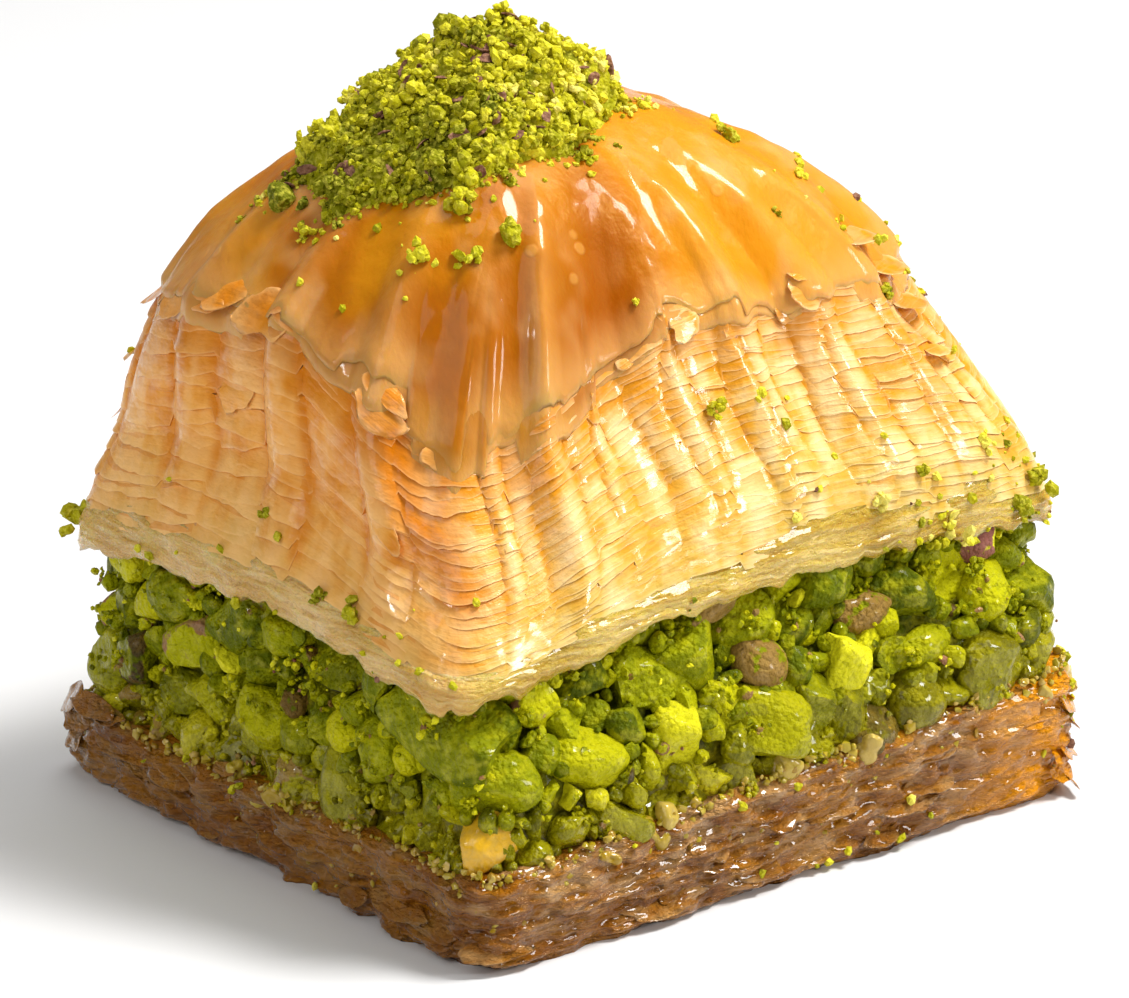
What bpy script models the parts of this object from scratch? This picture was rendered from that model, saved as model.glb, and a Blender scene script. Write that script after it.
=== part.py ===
"""A cut piece of pistachio baklava: a soaked base, a packed nut filling, a domed flaky lid and a nut heap.

The piece stands on its base with the origin under its middle, +Z up, its long cut side facing -Y.
Every solid is a loft of rings: out along its underside, up its side and back to the middle over its top.
"""

import collections
import math

import bmesh
import bpy
from mathutils import Vector, noise

MM = 0.001

# Uneven shapes: how far the noise moves a point, how wide its bumps are, and where in the noise it is read.
Waves = collections.namedtuple("Waves", "depth size seed")

# Base: a slab of pressed, soaked leaves.
BASE_HALF = (21.4 * MM, 19.5 * MM)
BASE_HEIGHT = 5.9 * MM
BASE_TILT = (0.055, -0.03)
BASE_POWER = 22.0
BASE_LEAF_GROUPS = 3
BASE_LEAF_STEP = 0.4 * MM
BASE_LEAF_EDGES = (0.35, 0.95)
BASE_WAVES = Waves(0.3 * MM, 12 * MM, 6.6)
BASE_TEARS = Waves(0.4 * MM, 2.6 * MM, 4.4)
BASE_TEAR_RUN = 20 * MM

# Lid: a stack of leaves that flares at its foot and rounds over into a dome.
LID_HALF = (22.4 * MM, 18.1 * MM)
LID_CENTRE = (0.45 * MM, 0.75 * MM)
LID_FOOT = 16.5 * MM
LID_FOOT_POWER = 16.0
LID_TILT = 0.035
LID_CORNER_DROOP = 2.2 * MM
LID_DENSE_SHARE = 0.24
LID_SHOULDER = 31.2 * MM
LID_SHOULDER_POWER = 4.4
LID_SHOULDER_DROOP = 2.4 * MM
LID_NEAR_SAG = 4.6 * MM
LID_NEAR_REACH = 17 * MM
LID_TOP = 40.4 * MM
LID_LEAN = (-1.55 * MM, 1.4 * MM)
LID_LEAF_GROUPS = 7
LID_LEAF_STEP = 0.55 * MM
LID_LEAF_EDGE = 0.82
LID_WAVES = Waves(0.2 * MM, 12 * MM, 3.1)
LID_TEARS = Waves(0.35 * MM, 1.7 * MM, 8.2)
LID_TEAR_RUN = 40 * MM
FLUTES = Waves(0.65 * MM, 3.4 * MM, 1.3)
FLUTE_BAND = (0.15, 0.5)
ROUNDING_BAND = (0.1, 1.0)
LEAN_BAND = (0.3, 0.95)
DOME_FALL = 2.3
DOME_FOLDS = Waves(0.7 * MM, 9 * MM, 5.7)
DOME_FOLD_BAND = (0.15, 0.7, 0.8, 1.0)
# The dense foot of the side: shares of its height, and how far each stands out of the lid's outline.
LID_EDGE_INSET = -0.2 * MM
LID_DENSE = ((0.03, 0.1 * MM), (0.12, 0.15 * MM))
# The side's width against the foot's, at shares of the height from foot to shoulder.
LID_SIDE = ((0.0, 1.0), (0.12, 0.99), (0.3, 0.95), (0.47, 0.895), (0.83, 0.835), (1.0, 0.81))

# Filling: chopped nuts packed between base and lid, with a ledge along the long cut side.
FILLING_FOOT_HALF = (21.0 * MM, 19.1 * MM)
FILLING_TOP_HALF = (21.3 * MM, 17.3 * MM)
FILLING_POWER = 14.0
FILLING_STEPS = 7
FILLING_FALL_BACK = 0.25
NUTS = Waves(0.9 * MM, 4.2 * MM, 2.2)
NUT_BAND = (0.1, 0.95)

# Heap: ground nuts piled on the dome.
HEAP_CENTRE = (-6.2 * MM, 1.9 * MM)
HEAP_HALF = (9.8 * MM, 6.6 * MM)
HEAP_TURN = math.radians(-16)
HEAP_PEAK = 2.3 * MM
HEAP_HEIGHT = 4.1 * MM
HEAP_FALL = 1.25
HEAP_RIM = 0.6 * MM
HEAP_STEPS = 48
# Lobes of the heap's plan: how many, how deep and where they start.
HEAP_LOBES = ((3, 0.08, 0.6), (7, 0.07, 2.0))
CRUMBS = Waves(0.45 * MM, 2.2 * MM, 7.7)

GAP = 0.3 * MM
SIDE_STEPS = 18
INNER_SHARES = (0.08, 0.42, 0.78)
DOME_SHARES = (0.93, 0.84, 0.72, 0.58, 0.43, 0.28, 0.14, 0.04)
HEAP_SHARES = (1.0, 0.93, 0.8, 0.66, 0.52, 0.38, 0.24, 0.1)
HEAP_FLOOR_SHARES = (0.08, 0.35, 0.65, 0.92)
SHARP_ANGLE = math.radians(50)


def ripple(waves, x, y, z=0.0):
    """How far the waves move a point."""
    place = Vector((x, y, z)) / waves.size + waves.seed * Vector((1, -1, 2))
    return waves.depth * noise.noise(place)


def smooth(low, high, value):
    """0 at low, 1 at high and an S between."""
    share = min(1.0, max(0.0, (value - low) / (high - low)))
    return share * share * (3 - 2 * share)


def between(start, end, share):
    return start + (end - start) * share


def walk_angles():
    """Angles of points spaced evenly round a rectangle of the base's shape, with one on each corner."""
    half_x, half_y = BASE_HALF
    corners = ((half_x, -half_y), (half_x, half_y), (-half_x, half_y), (-half_x, -half_y))
    angles = []
    for start, end in zip(corners, corners[1:] + corners[:1]):
        for step in range(SIDE_STEPS):
            share = step / SIDE_STEPS
            angles.append(math.atan2(between(start[1], end[1], share), between(start[0], end[0], share)))
    return angles


ANGLES = walk_angles()


def superellipse(angle, half, power):
    """The point at an angle on a rectangle whose corners round off as power falls."""
    along_x, along_y = math.cos(angle), math.sin(angle)
    radius = (abs(along_x / half[0]) ** power + abs(along_y / half[1]) ** power) ** (-1 / power)
    return radius * along_x, radius * along_y


def cornering(x, y):
    """0 over the middle of the lid and along its axes, and 1 at its four corners."""
    share_x = min(1.0, abs(x - LID_CENTRE[0]) / LID_HALF[0])
    share_y = min(1.0, abs(y - LID_CENTRE[1]) / LID_HALF[1])
    return (share_x * share_y) ** 2


def shrunk(ring, middle, share, height):
    """A ring drawn in towards the middle, with its heights given by a function of x and y."""
    points = []
    for point in ring:
        x = between(middle[0], point.x, share)
        y = between(middle[1], point.y, share)
        points.append(Vector((x, y, height(x, y))))
    return points


def pushed_out(x, y, distance):
    """A point of a plan moved away from the plan's middle."""
    grow = 1 + distance / math.hypot(x, y)
    return x * grow, y * grow


def base_top(x, y):
    """Height of the base's upper face, which rises towards the +X, -Y corner."""
    return BASE_HEIGHT + BASE_TILT[0] * x + BASE_TILT[1] * y + ripple(BASE_WAVES, x, y)


def base_ring(share, step_out):
    """The base's outline at a share of its height. Its torn leaves make it uneven."""
    ring = []
    for angle in ANGLES:
        x, y = superellipse(angle, BASE_HALF, BASE_POWER)
        torn = ripple(BASE_TEARS, x, y, BASE_TEAR_RUN * share)
        x, y = pushed_out(x, y, step_out + torn)
        ring.append(Vector((x, y, base_top(x, y) * share)))
    return ring


def base_rings():
    foot = base_ring(0.0, -BASE_LEAF_STEP)
    rings = [shrunk(foot, (0, 0), share, lambda x, y: 0.0) for share in INNER_SHARES]
    rings.append(foot)
    for group in range(BASE_LEAF_GROUPS):
        rings.append(base_ring((group + BASE_LEAF_EDGES[0]) / BASE_LEAF_GROUPS, BASE_LEAF_STEP))
        rings.append(base_ring((group + BASE_LEAF_EDGES[1]) / BASE_LEAF_GROUPS, 0.0))
    rim = base_ring(1.0, -BASE_LEAF_STEP)
    return rings + [shrunk(rim, (0, 0), share, base_top) for share in reversed(INNER_SHARES)]


def lid_underside(x, y):
    """Height of the lid's underside: it rises a little along +X and droops at the corners."""
    return LID_FOOT + LID_TILT * x - LID_CORNER_DROOP * cornering(x, y) + ripple(LID_WAVES, x, y)


def lid_shoulder(x, y):
    """Height of the top leaf's edge: it droops at the corners, and most at the -X, -Y one."""
    narrow = LID_SIDE[-1][1]
    near = math.hypot(x + narrow * LID_HALF[0], y + narrow * LID_HALF[1])
    sag = LID_NEAR_SAG * smooth(LID_NEAR_REACH, 0, near)
    return LID_SHOULDER - LID_SHOULDER_DROOP * cornering(x / narrow, y / narrow) - sag


def dome_height(x, y):
    """Height of the dome above a point inside the shoulder."""
    share_x = abs(x - LID_CENTRE[0] - LID_LEAN[0]) / (LID_SIDE[-1][1] * LID_HALF[0])
    share_y = abs(y - LID_CENTRE[1] - LID_LEAN[1]) / (LID_SIDE[-1][1] * LID_HALF[1])
    out = (share_x**LID_SHOULDER_POWER + share_y**LID_SHOULDER_POWER) ** (1 / LID_SHOULDER_POWER)
    rise = 1 - min(1.0, out) ** DOME_FALL
    start, full, fade, end = DOME_FOLD_BAND
    fold = ripple(DOME_FOLDS, x, y) * smooth(start, full, out) * smooth(end, fade, out)
    return between(lid_shoulder(x, y), LID_TOP, rise) + fold


def side_width(share):
    """The lid's width against its foot's, at a share of the way up its side."""
    for (low, wide), (high, narrow) in zip(LID_SIDE, LID_SIDE[1:]):
        if share <= high:
            break
    return between(wide, narrow, min(1.0, (share - low) / (high - low)))


def lid_ring(share, step_out):
    """The lid's outline at a share of the way from foot to shoulder, with flutes that run up its side."""
    power = between(LID_FOOT_POWER, LID_SHOULDER_POWER, smooth(*ROUNDING_BAND, share))
    half = [size * side_width(share) for size in LID_HALF]
    lean = smooth(*LEAN_BAND, share)
    ring = []
    for angle in ANGLES:
        x, y = superellipse(angle, half, power)
        flutes = ripple(FLUTES, x, y) * smooth(*FLUTE_BAND, share)
        torn = ripple(LID_TEARS, x, y, LID_TEAR_RUN * share)
        x, y = pushed_out(x, y, step_out + flutes + torn)
        x += LID_CENTRE[0] + LID_LEAN[0] * lean
        y += LID_CENTRE[1] + LID_LEAN[1] * lean
        ring.append(Vector((x, y, between(lid_underside(x, y), lid_shoulder(x, y), share))))
    return ring


def lid_rings():
    edge = lid_ring(0.0, LID_EDGE_INSET)
    rings = [shrunk(edge, LID_CENTRE, share, lid_underside) for share in INNER_SHARES]
    rings += [lid_ring(share, step_out) for share, step_out in LID_DENSE]
    for group in range(LID_LEAF_GROUPS):
        low = between(LID_DENSE_SHARE, 1.0, group / LID_LEAF_GROUPS)
        high = between(LID_DENSE_SHARE, 1.0, (group + LID_LEAF_EDGE) / LID_LEAF_GROUPS)
        rings.append(lid_ring(low, LID_LEAF_STEP))
        rings.append(lid_ring(high, 0.0))
    shoulder = lid_ring(1.0, LID_LEAF_STEP)
    middle = (LID_CENTRE[0] + LID_LEAN[0], LID_CENTRE[1] + LID_LEAN[1])
    return rings + [shoulder] + [shrunk(shoulder, middle, share, dome_height) for share in DOME_SHARES]


def filling_floor(x, y):
    return base_top(x, y) + GAP


def filling_roof(x, y):
    return lid_underside(x, y) - GAP


def filling_ring(share):
    """The filling's outline at a share of its height: its -Y ledge falls back towards the lid as it rises."""
    rise = smooth(FILLING_FALL_BACK, 1.0, share)
    ring = []
    for angle in ANGLES:
        foot = superellipse(angle, FILLING_FOOT_HALF, FILLING_POWER)
        top = superellipse(angle, FILLING_TOP_HALF, FILLING_POWER)
        x = between(foot[0], top[0] + LID_CENTRE[0], rise)
        y = between(foot[1], top[1] + LID_CENTRE[1], rise)
        z = between(filling_floor(x, y), filling_roof(x, y), share)
        nuts = ripple(NUTS, x, y, z) * math.sin(math.pi * between(*NUT_BAND, share))
        ring.append(Vector((*pushed_out(x, y, nuts), z)))
    return ring


def filling_rings():
    sides = [filling_ring(step / FILLING_STEPS) for step in range(FILLING_STEPS + 1)]
    floor = [shrunk(sides[0], (0, 0), share, filling_floor) for share in INNER_SHARES]
    roof = [shrunk(sides[-1], (0, 0), share, filling_roof) for share in reversed(INNER_SHARES)]
    return floor + sides + roof


def heap_ring(share, height):
    """The heap's lobed plan at a share of the way out from its peak, laid at a height above the dome."""
    ring = []
    for step in range(HEAP_STEPS):
        angle = 2 * math.pi * step / HEAP_STEPS
        lobes = sum(depth * math.sin(count * angle + start) for count, depth, start in HEAP_LOBES)
        reach = share * (1 + lobes)
        along = HEAP_HALF[0] * math.cos(angle) * reach + HEAP_PEAK * (1 - share)
        across = HEAP_HALF[1] * math.sin(angle) * reach
        x = HEAP_CENTRE[0] + along * math.cos(HEAP_TURN) - across * math.sin(HEAP_TURN)
        y = HEAP_CENTRE[1] + along * math.sin(HEAP_TURN) + across * math.cos(HEAP_TURN)
        ring.append(Vector((x, y, dome_height(x, y) + height(x, y))))
    return ring


def heap_rings():
    rings = [heap_ring(share, lambda x, y: GAP) for share in HEAP_FLOOR_SHARES]
    for share in HEAP_SHARES:
        level = GAP + HEAP_RIM + HEAP_HEIGHT * (1 - share) ** HEAP_FALL
        rings.append(heap_ring(share, lambda x, y: level + ripple(CRUMBS, x, y, level)))
    return rings


def finish(name, colour, roughness):
    """A plain material of one colour."""
    material = bpy.data.materials.new(name)
    material.use_nodes = True
    shader = material.node_tree.nodes["Principled BSDF"]
    shader.inputs["Base Color"].default_value = (*colour, 1.0)
    shader.inputs["Roughness"].default_value = roughness
    shader.inputs["Metallic"].default_value = 0.0
    material.diffuse_color = (*colour, 1.0)
    return material


def loft(name, rings, material, collection):
    """A closed solid through rings of as many points each, with a fan over each end."""
    mesh = bpy.data.meshes.new(name)
    shape = bmesh.new()
    loops = [[shape.verts.new(point) for point in ring] for ring in rings]
    for lower, upper in zip(loops, loops[1:]):
        for here in range(len(lower)):
            there = (here + 1) % len(lower)
            shape.faces.new((lower[here], lower[there], upper[there], upper[here]))
    for loop in (loops[0], loops[-1]):
        middle = shape.verts.new(sum((vertex.co for vertex in loop), Vector()) / len(loop))
        for here in range(len(loop)):
            shape.faces.new((loop[here], loop[(here + 1) % len(loop)], middle))
    bmesh.ops.triangulate(shape, faces=shape.faces)
    bmesh.ops.recalc_face_normals(shape, faces=shape.faces)
    shape.to_mesh(mesh)
    shape.free()
    mesh.shade_smooth()
    mesh.set_sharp_from_angle(angle=SHARP_ANGLE)
    mesh.materials.append(material)
    piece = bpy.data.objects.new(name, mesh)
    collection.objects.link(piece)
    return piece


def main():
    for old in list(bpy.data.objects):
        bpy.data.objects.remove(old)
    collection = bpy.data.collections.new("baklava_piece")
    bpy.context.scene.collection.children.link(collection)
    loft("base_pastry", base_rings(), finish("soaked_pastry", (0.50, 0.22, 0.05), 0.3), collection)
    loft("nut_filling", filling_rings(), finish("chopped_nuts", (0.32, 0.42, 0.04), 0.5), collection)
    loft("top_pastry", lid_rings(), finish("flaky_pastry", (0.80, 0.48, 0.16), 0.35), collection)
    loft("nut_heap", heap_rings(), finish("ground_nuts", (0.50, 0.58, 0.07), 0.8), collection)


main()
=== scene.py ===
import itertools
import math

import bmesh
import bpy
import numpy as np
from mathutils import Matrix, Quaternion, Vector
from mathutils.bvhtree import BVHTree


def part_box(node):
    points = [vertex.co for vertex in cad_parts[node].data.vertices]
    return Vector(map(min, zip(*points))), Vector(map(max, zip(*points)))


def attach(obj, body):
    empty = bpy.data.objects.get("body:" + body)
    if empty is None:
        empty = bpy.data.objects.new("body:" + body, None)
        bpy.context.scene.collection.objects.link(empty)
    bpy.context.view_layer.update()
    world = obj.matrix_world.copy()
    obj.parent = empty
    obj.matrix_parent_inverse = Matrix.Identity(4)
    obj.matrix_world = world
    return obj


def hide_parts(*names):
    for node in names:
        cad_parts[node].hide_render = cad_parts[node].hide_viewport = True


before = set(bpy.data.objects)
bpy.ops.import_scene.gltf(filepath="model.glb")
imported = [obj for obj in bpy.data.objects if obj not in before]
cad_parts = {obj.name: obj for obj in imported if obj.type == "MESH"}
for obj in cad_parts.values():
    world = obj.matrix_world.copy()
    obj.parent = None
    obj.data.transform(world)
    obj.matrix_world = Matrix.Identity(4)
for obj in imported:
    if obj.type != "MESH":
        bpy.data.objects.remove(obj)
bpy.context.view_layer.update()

baseLow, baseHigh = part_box("base_pastry")
lidLow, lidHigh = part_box("top_pastry")
heapLow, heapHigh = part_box("nut_heap")
mm = 0.001


def smooth(low, high, value):
    share = np.clip((value - low) / (high - low), 0.0, 1.0)
    return share * share * (3 - 2 * share)


def between(start, end, share):
    return start + (end - start) * share


tables = {}


def table(seed, width):
    if (seed, width) not in tables:
        tables[seed, width] = np.random.default_rng(seed).uniform(-1, 1, (24, 24, 24, width))
    return tables[seed, width]


# Soft noise from -1 to 1 at an array of places. Its size may differ along x, y and z.
def bumps(places, size, seed):
    spot = places / np.asarray(size) + 0.37 * seed
    cell = np.floor(spot).astype(int)
    part = spot - cell
    part = part * part * (3 - 2 * part)
    total = 0.0
    for corner in itertools.product((0, 1), repeat=3):
        weight = np.where(corner, part, 1 - part).prod(axis=-1)
        x, y, z = np.moveaxis((cell + corner) % 24, -1, 0)
        total = total + weight * table(seed, 1)[x, y, z, 0]
    return total


def roughBumps(places, size, seed, layers=3):
    size = np.asarray(size)
    return sum(bumps(places, size / 2 ** k, seed + k) / 2 ** k for k in range(layers))


# Round pebbles that fill space: 1 on top of each and 0 in the clefts between them.
def pebbles(places, size, seed):
    spot = places / size
    cell = np.floor(spot).astype(int)
    nearest = np.full(spot.shape[:-1], 9.0)
    for step in itertools.product((-1, 0, 1), repeat=3):
        x, y, z = np.moveaxis((cell + step) % 24, -1, 0)
        middle = cell + step + 0.5 + 0.45 * table(seed, 3)[x, y, z]
        nearest = np.minimum(nearest, ((spot - middle) ** 2).sum(axis=-1))
    return np.sqrt(np.maximum(0.0, 1 - nearest / 0.85))


# Places round the piece are measured along the base's edge in metres, from the near corner, first towards +X.
baseHalf = ((baseHigh.x - baseLow.x) / 2 - 0.6 * mm, (baseHigh.y - baseLow.y) / 2 - 0.57 * mm)
sideX, sideY = 2 * baseHalf[0], 2 * baseHalf[1]
wayRound = 2 * (sideX + sideY)


def angleAt(around):
    corners = np.array([(-1, -1), (1, -1), (1, 1), (-1, 1), (-1, -1)]) * baseHalf
    lengths = np.cumsum((0, sideX, sideY, sideX, sideY))
    around = np.asarray(around) % wayRound
    return np.arctan2(np.interp(around, lengths, corners[:, 1]), np.interp(around, lengths, corners[:, 0]))


def ringOf(columns):
    around = np.arange(columns) / columns * wayRound
    return around, angleAt(around)


# 1 on the side at -X, where leaves are broader, and 0 on the other sides.
def broadSide(around):
    start = 2 * sideX + sideY
    return smooth(start - 3 * mm, start + 3 * mm, around) * smooth(wayRound, wayRound - 3 * mm, around)


# Soft noise along the way round, which meets itself at the near corner.
def ringWaves(around, size, seed):
    count = max(3, round(wayRound / size))
    values = np.random.default_rng(seed).uniform(-1, 1, count)
    spot = around / wayRound * count
    cell = np.floor(spot).astype(int)
    part = spot - cell
    part = part * part * (3 - 2 * part)
    return between(values[cell % count], values[(cell + 1) % count], part)


def ringGap(around, place):
    return (around - place + wayRound / 2) % wayRound - wayRound / 2


# Which column between two edges a place is in, and how far across it from 0 to 1.
def columnsAt(around, edges):
    edges = np.sort(edges % wayRound)
    index = np.searchsorted(edges, around, side="right") - 1
    width = (edges[(index + 1) % len(edges)] - edges[index]) % wayRound
    return index % len(edges), ((around - edges[index]) % wayRound) / width


def outline(angle, halfX, halfY, power):
    alongX, alongY = np.cos(angle), np.sin(angle)
    radius = (np.abs(alongX / halfX) ** power + np.abs(alongY / halfY) ** power) ** (-1 / power)
    return radius * alongX, radius * alongY


def gridFaces(rows, columns, ring=True):
    here = np.arange(rows * columns).reshape(rows, columns)
    there = np.roll(here, -1, axis=1)
    faces = np.stack([here[:-1], there[:-1], there[1:], here[1:]], axis=-1)
    return (faces if ring else faces[:, :-1]).reshape(-1, 4)


# Arrays of points, faces and values at the points become one piece that stands for a node.
# Faces that meet at more than the crease, in degrees, keep a crisp edge.
def addPiece(name, points, faces, finish, node, values=None, crease=180):
    mesh = bpy.data.meshes.new(name)
    mesh.vertices.add(len(points))
    mesh.vertices.foreach_set("co", np.asarray(points, np.float32).ravel())
    sizes = np.concatenate([np.full(len(part), part.shape[1]) for part in faces])
    corners = np.concatenate([part.ravel() for part in faces]).astype(np.int32)
    starts = np.concatenate([[0], np.cumsum(sizes)[:-1]]).astype(np.int32)
    mesh.loops.add(len(corners))
    mesh.loops.foreach_set("vertex_index", corners)
    mesh.polygons.add(len(sizes))
    mesh.polygons.foreach_set("loop_start", starts)
    mesh.update(calc_edges=True)
    for key, value in (values or {}).items():
        layer = mesh.attributes.new(key, "FLOAT", "POINT")
        layer.data.foreach_set("value", np.asarray(value, np.float32).ravel())
    mesh.shade_smooth()
    if crease < 180:
        mesh.set_sharp_from_angle(angle=math.radians(crease))
    mesh.materials.append(finish)
    piece = bpy.data.objects.new(name, mesh)
    bpy.context.scene.collection.objects.link(piece)
    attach(piece, "root")
    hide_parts(node)
    print(f"{name}: {int((sizes - 2).sum())} triangles")
    return piece


# A closed piece through rings of points, with a fan over its first and last ring.
def addLoft(name, rings, finish, node, values=None, crease=180):
    rings = np.asarray(rings)
    rows, columns = rings.shape[:2]
    points = np.concatenate([rings.reshape(-1, 3), rings[0].mean(0)[None], rings[-1].mean(0)[None]])
    here = np.arange(columns)
    there = np.roll(here, -1)
    first = np.stack([there, here, np.full(columns, rows * columns)], axis=-1)
    top = (rows - 1) * columns
    last = np.stack([top + here, top + there, np.full(columns, rows * columns + 1)], axis=-1)
    grown = {}
    for key, value in (values or {}).items():
        value = np.broadcast_to(value, (rows, columns))
        grown[key] = np.concatenate([value.ravel(), [value[0].mean(), value[-1].mean()]])
    return addPiece(name, points, [gridFaces(rows, columns), first, last], finish, node, grown, crease)


def ballShape(steps):
    shape = bmesh.new()
    bmesh.ops.create_icosphere(shape, subdivisions=steps, radius=1.0)
    points = np.array([vertex.co for vertex in shape.verts])
    faces = np.array([[vertex.index for vertex in face.verts] for face in shape.faces])
    shape.free()
    return points, faces


balls = {steps: ballShape(steps) for steps in (1, 2, 3, 4, 5)}


def randomTurn(rng):
    return np.array(Quaternion(rng.normal(size=4)).normalized().to_matrix())


# Many small shapes gathered into one piece.
class Gathered:
    def __init__(self):
        self.points, self.faces, self.values, self.count = [], [], {}, 0

    def add(self, points, faces, **values):
        self.points.append(points)
        self.faces.append(faces + self.count)
        for key, value in values.items():
            self.values.setdefault(key, []).append(np.broadcast_to(value, len(points)))
        self.count += len(points)

    def piece(self, name, finish, slot, node, crease=180):
        values = {key: np.concatenate(parts) for key, parts in self.values.items()}
        return addPiece(name, np.concatenate(self.points), [np.concatenate(self.faces)], finish, node, values,
                        crease)


# A link to a socket, so that shader maths reads as plain expressions.
class Value:
    def __init__(self, finish, socket):
        self.finish, self.socket = finish, socket

    def math(self, operation, *others):
        return self.finish.node("ShaderNodeMath", {"operation": operation}, dict(enumerate(others)))

    def __add__(self, other):
        return self.math("ADD", self, other)

    def __sub__(self, other):
        return self.math("SUBTRACT", self, other)

    def __mul__(self, other):
        return self.math("MULTIPLY", self, other)

    def __rsub__(self, other):
        return self.math("SUBTRACT", other, self)

    __radd__ = __add__
    __rmul__ = __mul__


class Finish:
    def __init__(self, name, **settings):
        self.material = bpy.data.materials.new(name)
        self.material.use_nodes = True
        self.tree = self.material.node_tree
        self.shader = self.tree.nodes["Principled BSDF"]
        self.feed(**settings)

    def node(self, kind, settings=None, sockets=None, output=0):
        made = self.tree.nodes.new(kind)
        for key, value in (settings or {}).items():
            if key == "stops":
                self.setStops(made.color_ramp, value)
            else:
                setattr(made, key, value)
        for key, value in (sockets or {}).items():
            self.plug(made.inputs[key], value)
        return Value(self, made.outputs[output])

    def setStops(self, ramp, stops):
        while len(ramp.elements) > 1:
            ramp.elements.remove(ramp.elements[-1])
        for index, (place, colour) in enumerate(stops):
            element = ramp.elements[0] if index == 0 else ramp.elements.new(place)
            element.position = place
            element.color = (*colour, 1.0)

    def plug(self, socket, value):
        if isinstance(value, Value):
            self.tree.links.new(value.socket, socket)
        elif socket.type == "RGBA":
            socket.default_value = (*value, 1.0)
        else:
            socket.default_value = value

    def feed(self, **sockets):
        for socket, value in sockets.items():
            self.plug(self.shader.inputs[socket.replace("_", " ")], value)

    def place(self):
        return self.node("ShaderNodeTexCoord", output="Object")

    def noise(self, size, detail=3.0, stretch=(1, 1, 1), roughness=0.5, shift=0.0):
        where = self.node("ShaderNodeMapping", None, {
            "Vector": self.place(), "Location": (shift, shift, shift), "Scale": stretch})
        return self.node("ShaderNodeTexNoise", None, {
            "Vector": where, "Scale": 1 / size, "Detail": detail, "Roughness": roughness})

    # Noise stretched along the leaves: fine across the stack and long round the piece.
    def streaks(self, stack, along, perLeaf, detail=3.0):
        parts = self.node("ShaderNodeSeparateXYZ", None, {0: self.place()})
        x, y = (Value(self, parts.socket.node.outputs[index]) for index in (0, 1))
        where = self.node("ShaderNodeCombineXYZ", None, {0: x * (1 / along), 1: y * (1 / along), 2: stack * perLeaf})
        return self.node("ShaderNodeTexNoise", None, {"Vector": where, "Scale": 1.0, "Detail": detail})

    def cells(self, size, feature="F1"):
        return self.node("ShaderNodeTexVoronoi", {"feature": feature}, {"Vector": self.place(), "Scale": 1 / size})

    def value(self, name):
        return self.node("ShaderNodeAttribute", {"attribute_name": name}, output="Fac")

    def band(self, value, low, high):
        return self.node("ShaderNodeMapRange", {"interpolation_type": "SMOOTHSTEP"}, {
            "Value": value, "From Min": low, "From Max": high})

    def mix(self, share, first, second):
        return self.node("ShaderNodeMix", {"data_type": "RGBA"}, {0: share, 6: first, 7: second}, output=2)

    def ramp(self, value, *stops):
        return self.node("ShaderNodeValToRGB", {"stops": stops}, {"Fac": value})

    def bump(self, height, depth, strength=1.0):
        return self.node("ShaderNodeBump", None, {"Height": height, "Distance": depth, "Strength": strength})


# The top leaf: amber and satin, with painted shade in its hollow, painted highlights on its fold crests, painted light
# on its sunny faces and paler film at its edge.
def skinFinish():
    finish = Finish("amberSkin", IOR=1.45, Specular_IOR_Level=0.25, Specular_Tint=(1.0, 0.65, 0.15),
                    Coat_Roughness=0.08, Coat_IOR=1.4, Subsurface_Weight=0.35,
                    Subsurface_Radius=(1.0, 0.4, 0.05), Subsurface_Scale=0.6 * mm)
    crest, rim, face, hollowShade = (finish.value(name) for name in ("crest", "rim", "sunny", "hollowShade"))
    wide = finish.noise(7 * mm, 2.0)
    patchy = finish.noise(1.6 * mm, 4.0)
    colour = finish.ramp(finish.band(wide, 0.35, 0.65),
                         (0.0, (0.36, 0.095, 0.0001)), (0.5, (0.44, 0.135, 0.0003)), (1.0, (0.52, 0.19, 0.001)))
    # Painted light: the sunny faces, at -Y and +X where the key lamp falls, are painted paler.
    colour = finish.mix(face * 0.8, colour, (0.66, 0.25, 0.006))
    # Painted highlight: the fold crests are painted paler.
    colour = finish.mix(crest * 0.45, colour, (0.72, 0.36, 0.08))
    # Painted shade: the hollow of the fold at 14.5 mm is painted a darker, deeper amber.
    colour = finish.mix(hollowShade * 0.9, colour, (0.31, 0.066, 0.0))
    film = finish.noise(3.2 * mm, 2.0, stretch=(1, 1, 0.5), shift=0.4)
    film = finish.band(film, 0.5, 0.75) * (0.5 - 0.45 * hollowShade)
    colour = finish.mix(film, colour, (0.66, 0.37, 0.13))
    blister = 1 - finish.band(finish.cells(3.2 * mm), 0.08, 0.14)
    colour = finish.mix(blister * 0.35, colour, (0.70, 0.36, 0.08))
    colour = finish.mix(rim * 0.6, colour, (0.68, 0.36, 0.11))
    wrinkles = finish.noise(0.7 * mm, 5.0, stretch=(1, 1, 0.45))
    finish.feed(Base_Color=colour, Roughness=0.26 + 0.26 * patchy, Coat_Weight=0.5 - 0.38 * hollowShade - 0.3 * film,
                Normal=finish.bump(wrinkles + 0.3 * blister, 0.12 * mm, 0.8))
    return finish.material
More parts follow.
